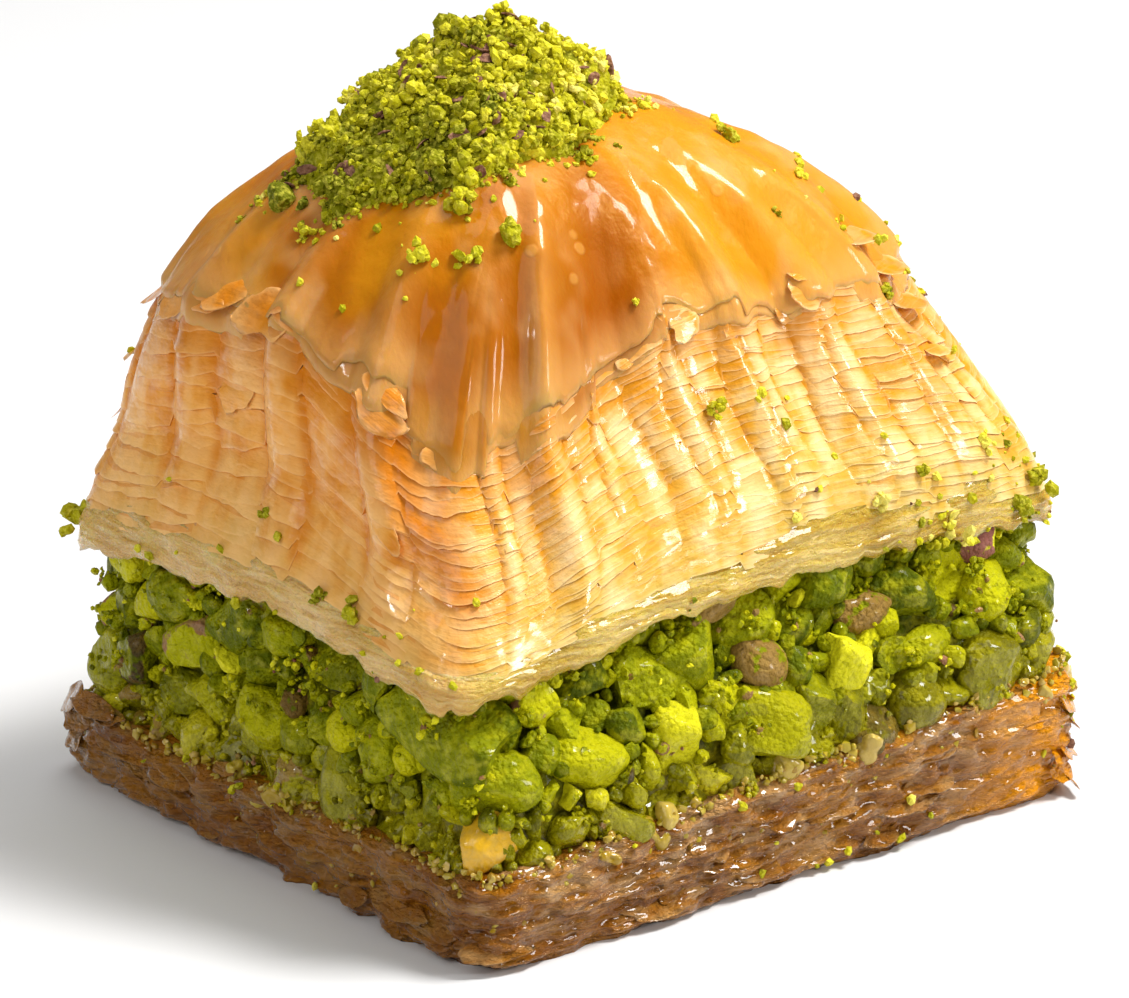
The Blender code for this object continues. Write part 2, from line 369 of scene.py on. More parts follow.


# The baked leaves of the lid: pale and soaked at the foot, tan above, with lit and shaded copies of the colours for the
# two sides, painted orange glow where light would come through, painted shade under leaf edges and between columns, and
# painted highlights on column crests and edges.
def leafFinish():
    finish = Finish("bakedLeaves", IOR=1.45, Specular_IOR_Level=0.35, Specular_Tint=(1.0, 0.8, 0.45),
                    Coat_Roughness=0.07, Coat_IOR=1.45)
    tone, deep, level, rim, ridge, broad, stack, crest = (
        finish.value(name) for name in ("tone", "deep", "level", "rim", "ridge", "broad", "stack", "crest"))
    drift = finish.noise(5 * mm, 3.0)
    patch = finish.noise(2.2 * mm, 3.0, stretch=(1, 1, 0.6), shift=0.6)
    height = level + (drift - 0.5) * 0.6
    lit = finish.ramp(height, (0.1, (0.58, 0.39, 0.055)), (0.4, (0.70, 0.42, 0.06)),
                      (0.65, (0.74, 0.34, 0.02)), (0.85, (0.72, 0.26, 0.004)), (1.05, (0.64, 0.20, 0.001)))
    shaded = finish.ramp(height, (0.1, (0.68, 0.40, 0.10)), (0.4, (0.84, 0.41, 0.08)),
                         (0.65, (0.88, 0.37, 0.045)), (0.85, (0.66, 0.23, 0.01)), (1.05, (0.46, 0.13, 0.001)))
    colour = finish.mix(broad, lit, shaded)
    pale = finish.mix(broad, (0.95, 0.74, 0.40), (0.94, 0.56, 0.22))
    # Deeper orange: painted shade and painted glow of light through the leaves, also used for amber patches and
    # streaks.
    amberGlowShade = finish.mix(broad, (0.68, 0.25, 0.005), (0.64, 0.18, 0.001))
    lines = 1 - 0.5 * broad
    low = finish.band(height, 1.0, 0.75)
    amber = finish.band(finish.noise(6 * mm, 2.0, stretch=(1, 1, 0.6), shift=0.9), 0.5, 0.68)
    # Painted highlight: the column crests are painted paler.
    colour = finish.mix(crest * finish.band(patch, 0.38, 0.62) * (0.25 + 0.35 * low), colour, pale)
    # Painted shade: the valleys between column crests are painted deeper orange.
    colour = finish.mix(finish.band(crest, 0.6, 0.0) * finish.band(height, 0.15, 0.6) * 0.8, colour, amberGlowShade)
    colour = finish.mix(finish.band(patch, 0.5, 0.3) * finish.band(height, 0.0, 0.5) * 0.6, colour, amberGlowShade)
    # Wide amber patches: partly the baked colour and partly a painted glow of light through the leaves.
    colour = finish.mix(amber * finish.band(height, 0.3, 0.75) * 0.75, colour, amberGlowShade)
    colour = finish.mix(finish.band(tone, 0.7, 1.0) * 0.15, colour, pale)
    colour = finish.mix(ridge * 0.85, colour, (0.62, 0.17, 0.0005))
    # Painted shade: the recess under each leaf edge is painted deeper orange.
    colour = finish.mix(deep * (0.3 + 0.4 * lines), colour, amberGlowShade)
    streak = finish.streaks(stack, 2.4 * mm, 1.7, 3.0)
    colour = finish.mix(finish.band(streak, 0.5, 0.75) * lines * low * 0.25, colour, pale)
    colour = finish.mix(finish.band(streak, 0.5, 0.25) * lines * 0.25, colour, amberGlowShade)
    # The leaf edges are paler: partly the thin leaf itself and partly a painted highlight where the edge catches light.
    colour = finish.mix(rim * 0.4, colour, pale)
    fine = finish.noise(0.35 * mm, 4.0)
    satin = finish.noise(0.9 * mm, 3.0, stretch=(1, 1, 1.6), shift=0.3)
    finish.feed(Base_Color=colour, Roughness=0.2 + 0.3 * fine, Coat_Weight=finish.band(satin, 0.4, 0.65) * 0.8 + 0.1,
                Normal=finish.bump(fine * 0.4 + satin * 1.6 + streak * lines, 0.09 * mm, 0.9))
    return finish.material


# The lid's dense foot: soaked leaves pressed together, with fine lines along them and wet glints.
def footFinish():
    finish = Finish("soakedFoot", IOR=1.45, Specular_IOR_Level=0.4, Specular_Tint=(1.0, 0.85, 0.45),
                    Coat_Roughness=0.05, Coat_IOR=1.42, Subsurface_Weight=0.6,
                    Subsurface_Radius=(1.0, 0.6, 0.12), Subsurface_Scale=0.9 * mm)
    stack, broad = finish.value("stack"), finish.value("broad")
    drift = finish.noise(5 * mm, 3.0)
    streak = finish.streaks(stack, 3.0 * mm, 2.4, 4.0)
    lit = finish.ramp(finish.band(drift, 0.3, 0.7), (0.0, (0.44, 0.27, 0.02)), (0.6, (0.55, 0.36, 0.045)),
                      (1.0, (0.64, 0.46, 0.10)))
    shaded = finish.ramp(finish.band(drift, 0.3, 0.7), (0.0, (0.62, 0.36, 0.08)), (0.6, (0.70, 0.43, 0.12)),
                         (1.0, (0.78, 0.52, 0.19)))
    colour = finish.mix(broad, lit, shaded)
    colour = finish.mix(finish.band(streak, 0.5, 0.66) * 0.5, colour, (0.76, 0.58, 0.24))
    colour = finish.mix(finish.band(streak, 0.48, 0.32) * 0.5, colour, (0.44, 0.21, 0.01))
    stain = finish.band(finish.noise(3.2 * mm, 4.0, shift=0.2), 0.56, 0.7)
    colour = finish.mix(stain * 0.3, colour, (0.56, 0.42, 0.01))
    glints = finish.noise(0.32 * mm, 3.0, stretch=(0.7, 0.7, 1.4))
    finish.feed(Base_Color=colour, Roughness=0.2 + 0.3 * finish.band(glints, 0.4, 0.7), Coat_Weight=0.8,
                Normal=finish.bump(streak + glints * 1.6, 0.24 * mm, 1.0))
    return finish.material


# The base: leaves boiled in syrup, brown and clear, with painted highlights where a leaf stands off, painted shade on
# the side at -X and a painted orange glow at the corner at +X, -Y.
def baseFinish():
    finish = Finish("syrupLeaves", IOR=1.45, Specular_IOR_Level=0.35, Specular_Tint=(1.0, 0.6, 0.2),
                    Coat_Roughness=0.04, Coat_IOR=1.4)
    ridge, glow, broad, height = (finish.value(name) for name in ("ridge", "glow", "broad", "level"))
    drift = finish.noise(5 * mm, 3.0)
    lines = finish.noise(2.0 * mm, 5.0, stretch=(1, 1, 7), roughness=0.6)
    colour = finish.ramp(finish.band(drift, 0.3, 0.7), (0.0, (0.20, 0.055, 0.0003)), (0.5, (0.30, 0.095, 0.0006)),
                         (1.0, (0.42, 0.16, 0.002)))
    film = finish.band(finish.noise(2.2 * mm, 5.0, stretch=(1, 1, 2.2), shift=0.7), 0.44, 0.62)
    clear = finish.band(height + (drift - 0.5) * 1.5, 0.1, 0.75)
    # The film colour, painted darker on the side at -X as painted shade.
    pale = finish.mix(broad, (0.56, 0.32, 0.12), (0.34, 0.17, 0.03))
    colour = finish.mix(film * (0.15 + 0.6 * clear), colour, pale)
    colour = finish.mix(finish.band(lines, 0.52, 0.7) * 0.35, colour, (0.55, 0.24, 0.015))
    colour = finish.mix(finish.band(lines, 0.46, 0.3) * 0.4, colour, (0.17, 0.04, 0.0))
    # Painted highlight: leaves that stand off are painted lighter.
    colour = finish.mix(ridge * 0.35, colour, (0.52, 0.25, 0.05))
    # Painted glow: the corner at +X, -Y is painted bright orange, as light coming through it.
    colour = finish.mix(glow * (1 - 0.4 * film), colour, (0.88, 0.33, 0.002))
    # Painted shade: the side at -X is painted darker.
    colour = finish.mix(broad * 0.2, colour, (0.20, 0.07, 0.001))
    glints = finish.noise(0.5 * mm, 4.0, stretch=(0.6, 0.6, 1.5))
    finish.feed(Base_Color=colour, Roughness=0.08 + 0.2 * finish.band(glints, 0.4, 0.7), Coat_Weight=0.7 + 0.3 * film,
                Normal=finish.bump(lines * 0.5 + glints * 2.0, 0.7 * mm, 1.0))
    return finish.material


# Chopped pistachio: green flesh, yellower on cut faces, with brown, grey or purple skin on some pieces.
def nutFinish():
    finish = Finish("pistachio", IOR=1.45, Specular_IOR_Level=0.25, Specular_Tint=(0.9, 1.0, 0.2),
                    Coat_Roughness=0.06, Coat_IOR=1.4)
    tone, cut, husk, wet = (finish.value(name) for name in ("tone", "cut", "husk", "wet"))
    mottle = finish.noise(0.8 * mm, 5.0)
    flesh = finish.ramp(tone, (0.0, (0.045, 0.062, 0.0)), (0.3, (0.115, 0.140, 0.0001)),
                        (0.6, (0.28, 0.29, 0.0004)), (0.85, (0.56, 0.52, 0.002)), (1.0, (0.82, 0.76, 0.02)))
    flesh = finish.mix(finish.band(mottle, 0.42, 0.68) * 0.5, flesh, (0.50, 0.46, 0.003))
    flesh = finish.mix(finish.band(mottle, 0.45, 0.3) * 0.4, flesh, (0.10, 0.11, 0.0))
    flesh = finish.mix(cut * 0.25, flesh, (0.52, 0.52, 0.004))
    skin = finish.ramp(tone + (mottle - 0.5) * 0.7, (0.0, (0.012, 0.011, 0.018)), (0.2, (0.13, 0.07, 0.015)),
                       (0.45, (0.24, 0.13, 0.025)), (0.7, (0.34, 0.20, 0.06)), (1.0, (0.32, 0.11, 0.09)))
    skinShare = husk * finish.band(mottle - 0.3 * cut, 0.36, 0.44)
    colour = finish.mix(skinShare, flesh, skin)
    colour = finish.mix(wet * 0.4, colour, (0.30, 0.20, 0.002))
    fine = finish.noise(0.22 * mm, 4.0)
    grit = finish.cells(0.34 * mm)
    finish.feed(Base_Color=colour, Roughness=0.45 - 0.2 * wet + 0.3 * (fine - 0.5),
                Coat_Weight=0.05 + 0.5 * wet + 0.35 * finish.band(mottle, 0.5, 0.6),
                Normal=finish.bump(fine + mottle - 0.9 * grit, 0.2 * mm, 1.0))
    return finish.material


# Ground pistachio: dry, granular and yellow-green.
def crumbFinish():
    finish = Finish("groundPistachio", IOR=1.45, Specular_IOR_Level=0.25, Specular_Tint=(0.9, 1.0, 0.4))
    tone, husk = finish.value("tone"), finish.value("husk")
    mottle = finish.noise(0.3 * mm, 4.0)
    drift = finish.noise(3.5 * mm, 2.0, shift=0.3)
    flesh = finish.ramp(tone + (drift - 0.5) * 0.9, (0.0, (0.10, 0.11, 0.0)), (0.3, (0.26, 0.25, 0.001)),
                        (0.65, (0.50, 0.45, 0.004)), (0.9, (0.72, 0.64, 0.03)), (1.0, (0.84, 0.72, 0.16)))
    flesh = finish.mix(finish.band(mottle, 0.45, 0.65) * 0.45, flesh, (0.78, 0.70, 0.08))
    shell = finish.ramp(mottle, (0.3, (0.11, 0.035, 0.025)), (0.7, (0.38, 0.19, 0.12)))
    grit = finish.cells(0.24 * mm)
    finish.feed(Base_Color=finish.mix(husk, flesh, shell), Roughness=0.5 + 0.3 * mottle,
                Normal=finish.bump(mottle - 0.8 * grit, 0.14 * mm, 1.0))
    return finish.material


# Nut meal and film glued to the base by syrup.
def mealFinish():
    finish = Finish("syrupMeal", IOR=1.45, Specular_IOR_Level=0.35, Specular_Tint=(1.0, 0.75, 0.3),
                    Coat_Roughness=0.04)
    tone = finish.value("tone")
    mottle = finish.noise(0.4 * mm, 3.0)
    colour = finish.ramp(tone, (0.0, (0.16, 0.06, 0.002)), (0.35, (0.32, 0.17, 0.006)),
                         (0.7, (0.42, 0.32, 0.01)), (0.9, (0.52, 0.36, 0.08)), (1.0, (0.72, 0.40, 0.015)))
    finish.feed(Base_Color=finish.mix(finish.band(mottle, 0.4, 0.7) * 0.4, colour, (0.50, 0.34, 0.08)),
                Roughness=0.2 + 0.2 * mottle, Coat_Weight=0.7, Normal=finish.bump(mottle, 0.12 * mm, 0.9))
    return finish.material


skin, leaves, foot = skinFinish(), leafFinish(), footFinish()
syrup, nuts, crumbs, meal = baseFinish(), nutFinish(), crumbFinish(), mealFinish()
print("finishes made")


lid = {
    "centre": ((lidLow.x + lidHigh.x) / 2, (lidLow.y + lidHigh.y) / 2),
    "half": ((lidHigh.x - lidLow.x) / 2 - 0.35 * mm, (lidHigh.y - lidLow.y) / 2 - 0.35 * mm),
    "foot": lidLow.z + 2.35 * mm,  # underside at the middle
    "tilt": 0.035,
    "cornerDroop": 2.2 * mm,
    "shoulder": 31.2 * mm,
    "shoulderDroop": 2.4 * mm,
    "nearSag": 4.6 * mm,
    "nearReach": 17 * mm,
    "top": lidHigh.z - 0.4 * mm,
    "lean": (-1.55 * mm, 1.4 * mm),
    "powers": (16.0, 4.4),
    "widthLevels": (0.0, 0.12, 0.3, 0.47, 0.83, 1.0),
    "widths": (1.0, 0.99, 0.95, 0.895, 0.835, 0.81),
    "domeFall": 2.3,
    # Soft folds that run down from the top: place along the way round, height and width, all in mm.
    "folds": (
        (6.9, 0.85, 1.7), (14.5, -0.75, 3.2), (24.7, 0.7, 1.8), (28.6, -0.35, 1.6), (32.6, 0.6, 1.7),
        (39.4, 0.6, 2.0), (50.0, 0.6, 2.2), (58.5, -0.4, 2.6), (66.0, 0.65, 2.0), (76.0, 0.6, 2.4),
        (86.0, -0.4, 2.4), (92.0, 0.7, 2.0), (101.0, 0.5, 2.2), (109.5, 0.65, 2.0), (118.0, -0.3, 2.4),
        (126.0, 0.45, 2.0), (136.4, 0.5, 1.8), (145.8, 0.45, 1.6), (154.8, 0.5, 1.8), (159.5, -0.35, 1.8),
    ),
}


def cornering(x, y):
    shareX = np.minimum(1.0, np.abs(x - lid["centre"][0]) / lid["half"][0])
    shareY = np.minimum(1.0, np.abs(y - lid["centre"][1]) / lid["half"][1])
    return (shareX * shareY) ** 2


def lidUnderside(x, y):
    return lid["foot"] + lid["tilt"] * x - lid["cornerDroop"] * cornering(x, y)


def lidShoulder(x, y):
    narrow = lid["widths"][-1]
    near = np.hypot(x + narrow * lid["half"][0], y + narrow * lid["half"][1])
    sag = lid["nearSag"] * smooth(lid["nearReach"], 0.0, near)
    return lid["shoulder"] - lid["shoulderDroop"] * cornering(x / narrow, y / narrow) - sag


def domeHeight(x, y):
    narrow, power = lid["widths"][-1], lid["powers"][1]
    shareX = np.abs(x - lid["centre"][0] - lid["lean"][0]) / (narrow * lid["half"][0])
    shareY = np.abs(y - lid["centre"][1] - lid["lean"][1]) / (narrow * lid["half"][1])
    out = (shareX ** power + shareY ** power) ** (1 / power)
    return between(lidShoulder(x, y), lid["top"], 1 - np.minimum(1.0, out) ** lid["domeFall"])


# The lid's smooth surface. Level runs from 0 at its foot to 1 at its shoulder and 2 at the middle of its top.
def lidSurface(angle, level):
    side = np.clip(level, 0.0, 1.0)
    inward = np.clip(2 - level, 0.0, 1.0)
    power = between(lid["powers"][0], lid["powers"][1], smooth(0.1, 1.0, side))
    width = np.interp(side, lid["widthLevels"], lid["widths"])
    x, y = outline(angle, lid["half"][0] * width, lid["half"][1] * width, power)
    lean = smooth(0.3, 0.95, side)
    x = x * inward + lid["centre"][0] + lid["lean"][0] * lean
    y = y * inward + lid["centre"][1] + lid["lean"][1] * lean
    z = np.where(level <= 1, between(lidUnderside(x, y), lidShoulder(x, y), side), domeHeight(x, y))
    return np.stack([x, y, z], axis=-1)


# Places on the lid, moved out along its surface's normal.
def lidPlaces(angle, level, out):
    angle, level, out = np.broadcast_arrays(angle, level, out)
    step = 0.02
    sideways = lidSurface(angle + step, level) - lidSurface(angle - step, level)
    upward = lidSurface(angle, np.minimum(level + step, 1.98)) - lidSurface(angle, np.minimum(level, 1.96) - step)
    normal = np.cross(sideways, upward)
    normal /= np.linalg.norm(normal, axis=-1, keepdims=True)
    return lidSurface(angle, level) + normal * out[..., None]


def folds(around, level):
    total = 0.2 * ringWaves(around, 4.5 * mm, 31)
    for place, height, width in lid["folds"]:
        total = total + height * np.exp(-((ringGap(around, place * mm) / (width * mm)) ** 2))
    return total * mm * smooth(0.05, 0.45, level) * smooth(1.6, 1.02, level)


# Torn columns of leaves, from top to foot, whose edges wander a little from leaf to leaf.
columns = {
    "width": 2.6 * mm,
    "broadWidth": 5.0 * mm,  # on the side at -X
    "wander": 0.45 * mm,
    "crown": 0.32 * mm,
    "step": 0.14 * mm,
}


def makeColumns():
    rng = np.random.default_rng(3)
    edges, place = [], 1.3 * mm
    while place < wayRound:
        edges.append(place)
        place += rng.uniform(0.55, 1.45) * between(columns["width"], columns["broadWidth"], broadSide(place))
    count = len(edges)
    return {
        "edges": np.array(edges), "phase": rng.uniform(0, 1, count), "pace": rng.uniform(0.6, 1.6, count),
        "step": rng.uniform(-1, 1, count), "crown": rng.uniform(0.4, 1.2, count), "hang": rng.uniform(-1, 1, count),
    }


column = makeColumns()


def columnAt(around, level, jitter=0.0):
    wander = np.sin(2 * math.pi * (column["phase"] + level * column["pace"])) * columns["wander"] * (0.3 + level)
    return columnsAt(around, column["edges"] + wander + jitter)


def columnRelief(index, along, level):
    crown = (crownAt(along) - 0.6) * column["crown"][index] * columns["crown"]
    step = column["step"][index] * columns["step"]
    calm = 0.6 + 0.4 * broadSide(column["edges"][index])
    return (crown + step) * calm * smooth(0.12, 0.5, level) * smooth(1.3, 1.0, level)


def crownAt(along):
    return 1 - np.abs(2 * along - 1) ** 2.2


leafStack = {
    "columns": 560,
    "leaves": 37,
    "lowest": 0.13,  # level of the lowest leaf's edge
    "highest": 1.12,
    "thickness": 0.03 * mm,
    "lift": 0.012 * mm,
    "liftVaries": 0.04 * mm,
    "longTabs": 0.06,  # share of tabs that hang over the leaves below
    "shortTabs": 0.06,
    "looseTabs": 0.08,  # share of tabs that stand off by 0.1 mm
    "inset": 0.025 * mm,
}


def makeLeaves():
    rng = np.random.default_rng(5)
    around, angle = ringOf(leafStack["columns"])
    count = leafStack["leaves"]
    broad = broadSide(around)
    gap = (leafStack["highest"] - leafStack["lowest"]) / count
    levels = leafStack["lowest"] + gap * (np.arange(count) + rng.uniform(-0.22, 0.22, count))
    keys = ("level", "out", "tone", "deep", "rim", "stack", "ridge", "crest")
    rows = []

    def addRow(level, out, tone, deep, rim, crest=0.5):
        stack = (level - leafStack["lowest"]) / gap
        along = np.clip((level - 0.35) / 0.65, 0.0, 1.2)  # the amber band climbs away from the near corner
        ridge = np.exp(-((ringGap(around, -9 * mm * along) / (2.8 * mm)) ** 2)) * smooth(0.25, 0.5, level)
        values = (level, out, tone, deep, rim, stack, ridge, crest)
        rows.append([np.broadcast_to(value, around.shape) for value in values])

    half = count // 2
    pieces = {}
    size = len(column["edges"])
    for index in range(count):
        level = levels[index]
        tab, along = columnAt(around, level, rng.normal(0, 0.07 * mm, size))
        own, kind = rng.uniform(0, 1, size), rng.uniform(0, 1, size)
        calm = broadSide(column["edges"]) + 0.45 * (1 - broadSide(column["edges"]))
        hang = (0.5 * column["hang"] + rng.uniform(-0.25, 0.25, size)) * calm
        long = kind < leafStack["longTabs"]
        hang = np.where(long, hang - rng.uniform(0.9, 2.2, size), hang)
        hang = np.where(kind > 1 - leafStack["shortTabs"], hang + 0.8, hang)
        if index == half:
            hang = np.minimum(hang, -0.3)
        slant = rng.uniform(-0.7, 0.7, size)[tab] * (along - 0.5)
        bow = rng.uniform(-0.4, 0.9, size)[tab] * 0.4 * crownAt(along)
        hidden = broad * (index % 2)  # the broad side shows every other leaf
        wide = 1 + 0.9 * broad * (1 - index % 2)
        ragged = 0.14 * ringWaves(around, 1.3 * mm, 100 + index) + 0.08 * ringWaves(around, 0.5 * mm, 200 + index)
        ragged = ragged + 0.5 * ringWaves(around, 6 * mm, 400 + index)
        edge = level + gap * (hang[tab] + (slant - bow + ragged) * (1 + 0.7 * broad))
        bulk = folds(around, level) + columnRelief(tab, along, level) - 0.15 * mm * smooth(1.04, 1.12, level)
        fade = between(0.3, 1.0, between(smooth(0.2, 0.9, level), smooth(0.15, 0.5, level), broad))
        lift = leafStack["lift"] + leafStack["liftVaries"] * own[tab] ** 2
        lift = lift + 0.02 * mm * ringWaves(around, 1.4 * mm, 300 + index)
        loose = np.where(rng.uniform(0, 1, size) < leafStack["looseTabs"], 0.1 * mm, 0.0)
        loose = loose + np.where(long, 0.06 * mm, 0.0)
        lift = (lift + loose[tab]) * fade * (1 + 0.4 * broad) - 0.2 * mm * hidden
        tone, crest, thick = own[tab], crownAt(along), leafStack["thickness"]
        if index in (0, half):
            addRow(level, -3 * mm, 0.5, 1.0, 0.0)
        # Painted shade: deep marks the recess under each leaf edge and the rows below it, which the leaf finish paints
        # deeper orange.
        addRow(edge + 0.12 * gap, bulk - leafStack["inset"] * fade, tone, 1.0, 0.0, crest)
        addRow(edge - 0.04 * gap, bulk + lift - thick, tone, 0.6, 0.3, crest)
        addRow(edge, bulk + lift, tone, 0.0, 1.0, crest)
        addRow(edge + 0.16 * gap * wide, bulk + lift * 0.95, tone, 0.0, 0.25, crest)
        addRow(edge + 0.8 * gap * wide, bulk + lift * 0.3, tone, 0.2, 0.0, crest)
        addRow(edge + 2.0 * gap * wide, bulk - 0.05 * mm, tone, 0.45, 0.0, crest)
        if index == half - 1:
            addRow(edge + 4 * gap, bulk - 0.08 * mm, tone, 0.5, 0.0, crest)
            level = level + 3 * gap
        if index in (half - 1, count - 1):
            addRow(level + 1.3 * gap, -3 * mm, 0.5, 1.0, 0.0)
            values = dict(zip(keys, np.moveaxis(np.array(rows), 1, 0)))
            points = lidPlaces(angle, values["level"], values.pop("out"))
            values["broad"] = np.broadcast_to(broad, values["level"].shape)
            name = "upperLeaves" if pieces else "lowerLeaves"
            pieces[name] = addLoft(name, points, leaves, "top_pastry", values, 35)
            rows = []
    return list(pieces.values())


# Torn flakes of leaf that lie on the sides or stand off them.
flakes = {
    "thickness": 0.03 * mm,
    # Place along the way round, level, half width, half length and how far the tip stands off, in mm.
    "shown": (
        (159.6, 1.03, 1.9, 1.0, 0.1), (155.6, 1.03, 1.6, 0.8, 0.1), (149.0, 1.04, 2.4, 1.2, 0.12),
        (144.0, 1.0, 2.0, 1.5, 0.2), (139.0, 1.02, 2.2, 1.3, 0.2), (134.0, 0.98, 1.8, 1.3, 0.4),
        (129.5, 1.0, 1.6, 1.3, 0.8), (126.0, 0.94, 1.3, 1.1, 1.0), (125.4, 0.72, 1.1, 0.9, 0.9),
        (125.2, 0.5, 1.2, 0.8, 0.8), (41.6, 1.08, 1.5, 1.0, 1.2), (43.6, 1.0, 1.5, 0.9, 1.3),
        (44.5, 0.85, 1.2, 0.8, 1.1), (42.9, 0.7, 1.0, 0.7, 0.8),
    ),
    "others": 40,
}


def makeFlakes():
    rng = np.random.default_rng(62)
    gathered = Gathered()
    ball, faces = balls[3]

    def addFlake(around, level, width, length, off):
        angle = angleAt(around)
        reach = float(folds(around, level)) + 0.06 * mm
        middle = lidPlaces(angle, level, reach)
        across = lidSurface(angle + 0.02, level) - lidSurface(angle - 0.02, level)
        across /= np.linalg.norm(across)
        up = lidSurface(angle, level + 0.03) - lidSurface(angle, level - 0.03)
        up /= np.linalg.norm(up)
        out = np.cross(across, up)
        shift = rng.uniform(-50, 50, 3)
        torn = 1 + 0.3 * bumps(ball * (1, 1, 0) + shift, 0.7, 63) + 0.12 * bumps(ball * (1, 1, 0) + shift, 0.3, 64)
        u, v, w = (ball * (1, 1, 0.2) * torn[:, None]).T
        v = v - rng.uniform(-0.5, 0.5) * u * u
        away = off * (1 - v) ** 2 / 4 + 0.06 * bumps(ball + shift, 0.9, 65) - 0.25 * smooth(0.2, 1.0, v)
        spots = middle + across * (u * width * mm)[:, None] + up * (v * length * mm)[:, None]
        spots = spots + out * (away * mm + ball[:, 2] * flakes["thickness"])[:, None]
        gathered.add(spots, faces, tone=rng.uniform(0.3, 1.0), deep=0.0, level=min(level, 0.85), ridge=0.0,
                     rim=smooth(0.8, 1.0, np.hypot(u, v)), broad=float(broadSide(around)), stack=v * 3, crest=0.5)

    for shown in flakes["shown"]:
        addFlake(shown[0] * mm, *shown[1:])
    for _ in range(flakes["others"]):
        around = rng.uniform(0, wayRound)
        level = rng.choice([rng.normal(0.98, 0.03), rng.uniform(0.4, 0.9)], p=[0.8, 0.2])
        addFlake(around, level, rng.uniform(0.6, 1.8), rng.uniform(0.4, 1.0), rng.uniform(0.05, 0.25))
    return gathered.piece("tornFlakes", leaves, "flaky_pastry", "top_pastry")


dense = {
    "columns": 560,
    "rows": 38,
    "height": 0.3,  # level where its hidden top starts
    "line": 0.3 * mm,
    "relief": 0.08 * mm,
    "jag": 0.3 * mm,
}


def makeFoot():
    around, angle = ringOf(dense["columns"])
    jag = dense["jag"] * (ringWaves(around, 1.3 * mm, 41) + 0.6 * ringWaves(around, 0.55 * mm, 42)
                          + 0.9 * ringWaves(around, 4 * mm, 43))
    rings, stacks = [], []
    middle = np.array(lid["centre"])
    for inset in (14 * mm, 6 * mm, 2.5 * mm, 1.0 * mm, 0.35 * mm):
        ring = lidPlaces(angle, 0.0, 0.0)
        away = ring[:, :2] - middle
        ring[:, :2] = middle + away * (1 - inset / np.linalg.norm(away, axis=1))[:, None]
        ring[:, 2] = lidUnderside(ring[:, 0], ring[:, 1]) + np.minimum(jag, 0.2 * mm) * smooth(3 * mm, 0.0, inset)
        ring[:, 2] += 0.12 * mm * bumps(ring, 1.5 * mm, 40)
        rings.append(ring)
        stacks.append(np.zeros_like(around))
    for row in range(dense["rows"]):
        share = row / (dense["rows"] - 1)
        level = share * dense["height"]
        ring = lidPlaces(angle, level, 0.0)
        phase = (ring[:, 2] + 0.5 * mm * bumps(ring, (4 * mm, 4 * mm, 2 * mm), 44)) / dense["line"]
        lines = (np.abs(phase % 1 - 0.5) * 2 - 0.5) * bumps(ring, (3 * mm, 3 * mm, 0.4 * mm), 47) * dense["relief"]
        lines = lines + bumps(ring, (2.6 * mm, 2.6 * mm, 0.25 * mm), 45) * dense["relief"]
        lumps = roughBumps(ring, (2.4 * mm, 2.4 * mm, 1.2 * mm), 46) * 0.13 * mm
        lip = -0.2 * mm * smooth(0.12, 0, share)
        tab, along = columnAt(around, level)
        sink = 0.5 * mm * smooth(0.1, 0.3, level + 0.05 * bumps(ring, 3 * mm, 48))
        out = 0.1 * mm + lines + lumps + lip - sink + folds(around, level) + columnRelief(tab, along, level)
        ring = lidPlaces(angle, level, out)
        ring[:, 2] += jag * smooth(0.35, 0, share)
        rings.append(ring)
        stacks.append(phase * 0.5)
    rings.append(lidPlaces(angle, dense["height"], -2.5 * mm))
    stacks.append(np.zeros_like(around))
    return addLoft("lidFoot", rings, foot, "top_pastry",
                   {"stack": np.array(stacks), "broad": np.broadcast_to(broadSide(around), np.shape(stacks))})


topSkin = {
    "columns": 460,
    "rows": 68,
    "edge": 0.99,
    "edgeVaries": 0.06,
    "proud": 0.2 * mm,
    # Torn tips that hang lower, and notches: place, half width and drop in mm.
    "tips": ((-1.6, 2.0, 1.1), (-8.0, 3.0, -0.8), (-13.0, 1.5, 0.5), (10.5, 1.2, 0.4), (19.0, 2.6, -0.6),
             (-20.0, 1.5, 0.5), (-27.5, 2.2, -0.7), (-33.0, 1.8, 0.6), (30.0, 1.4, 0.5)),
}


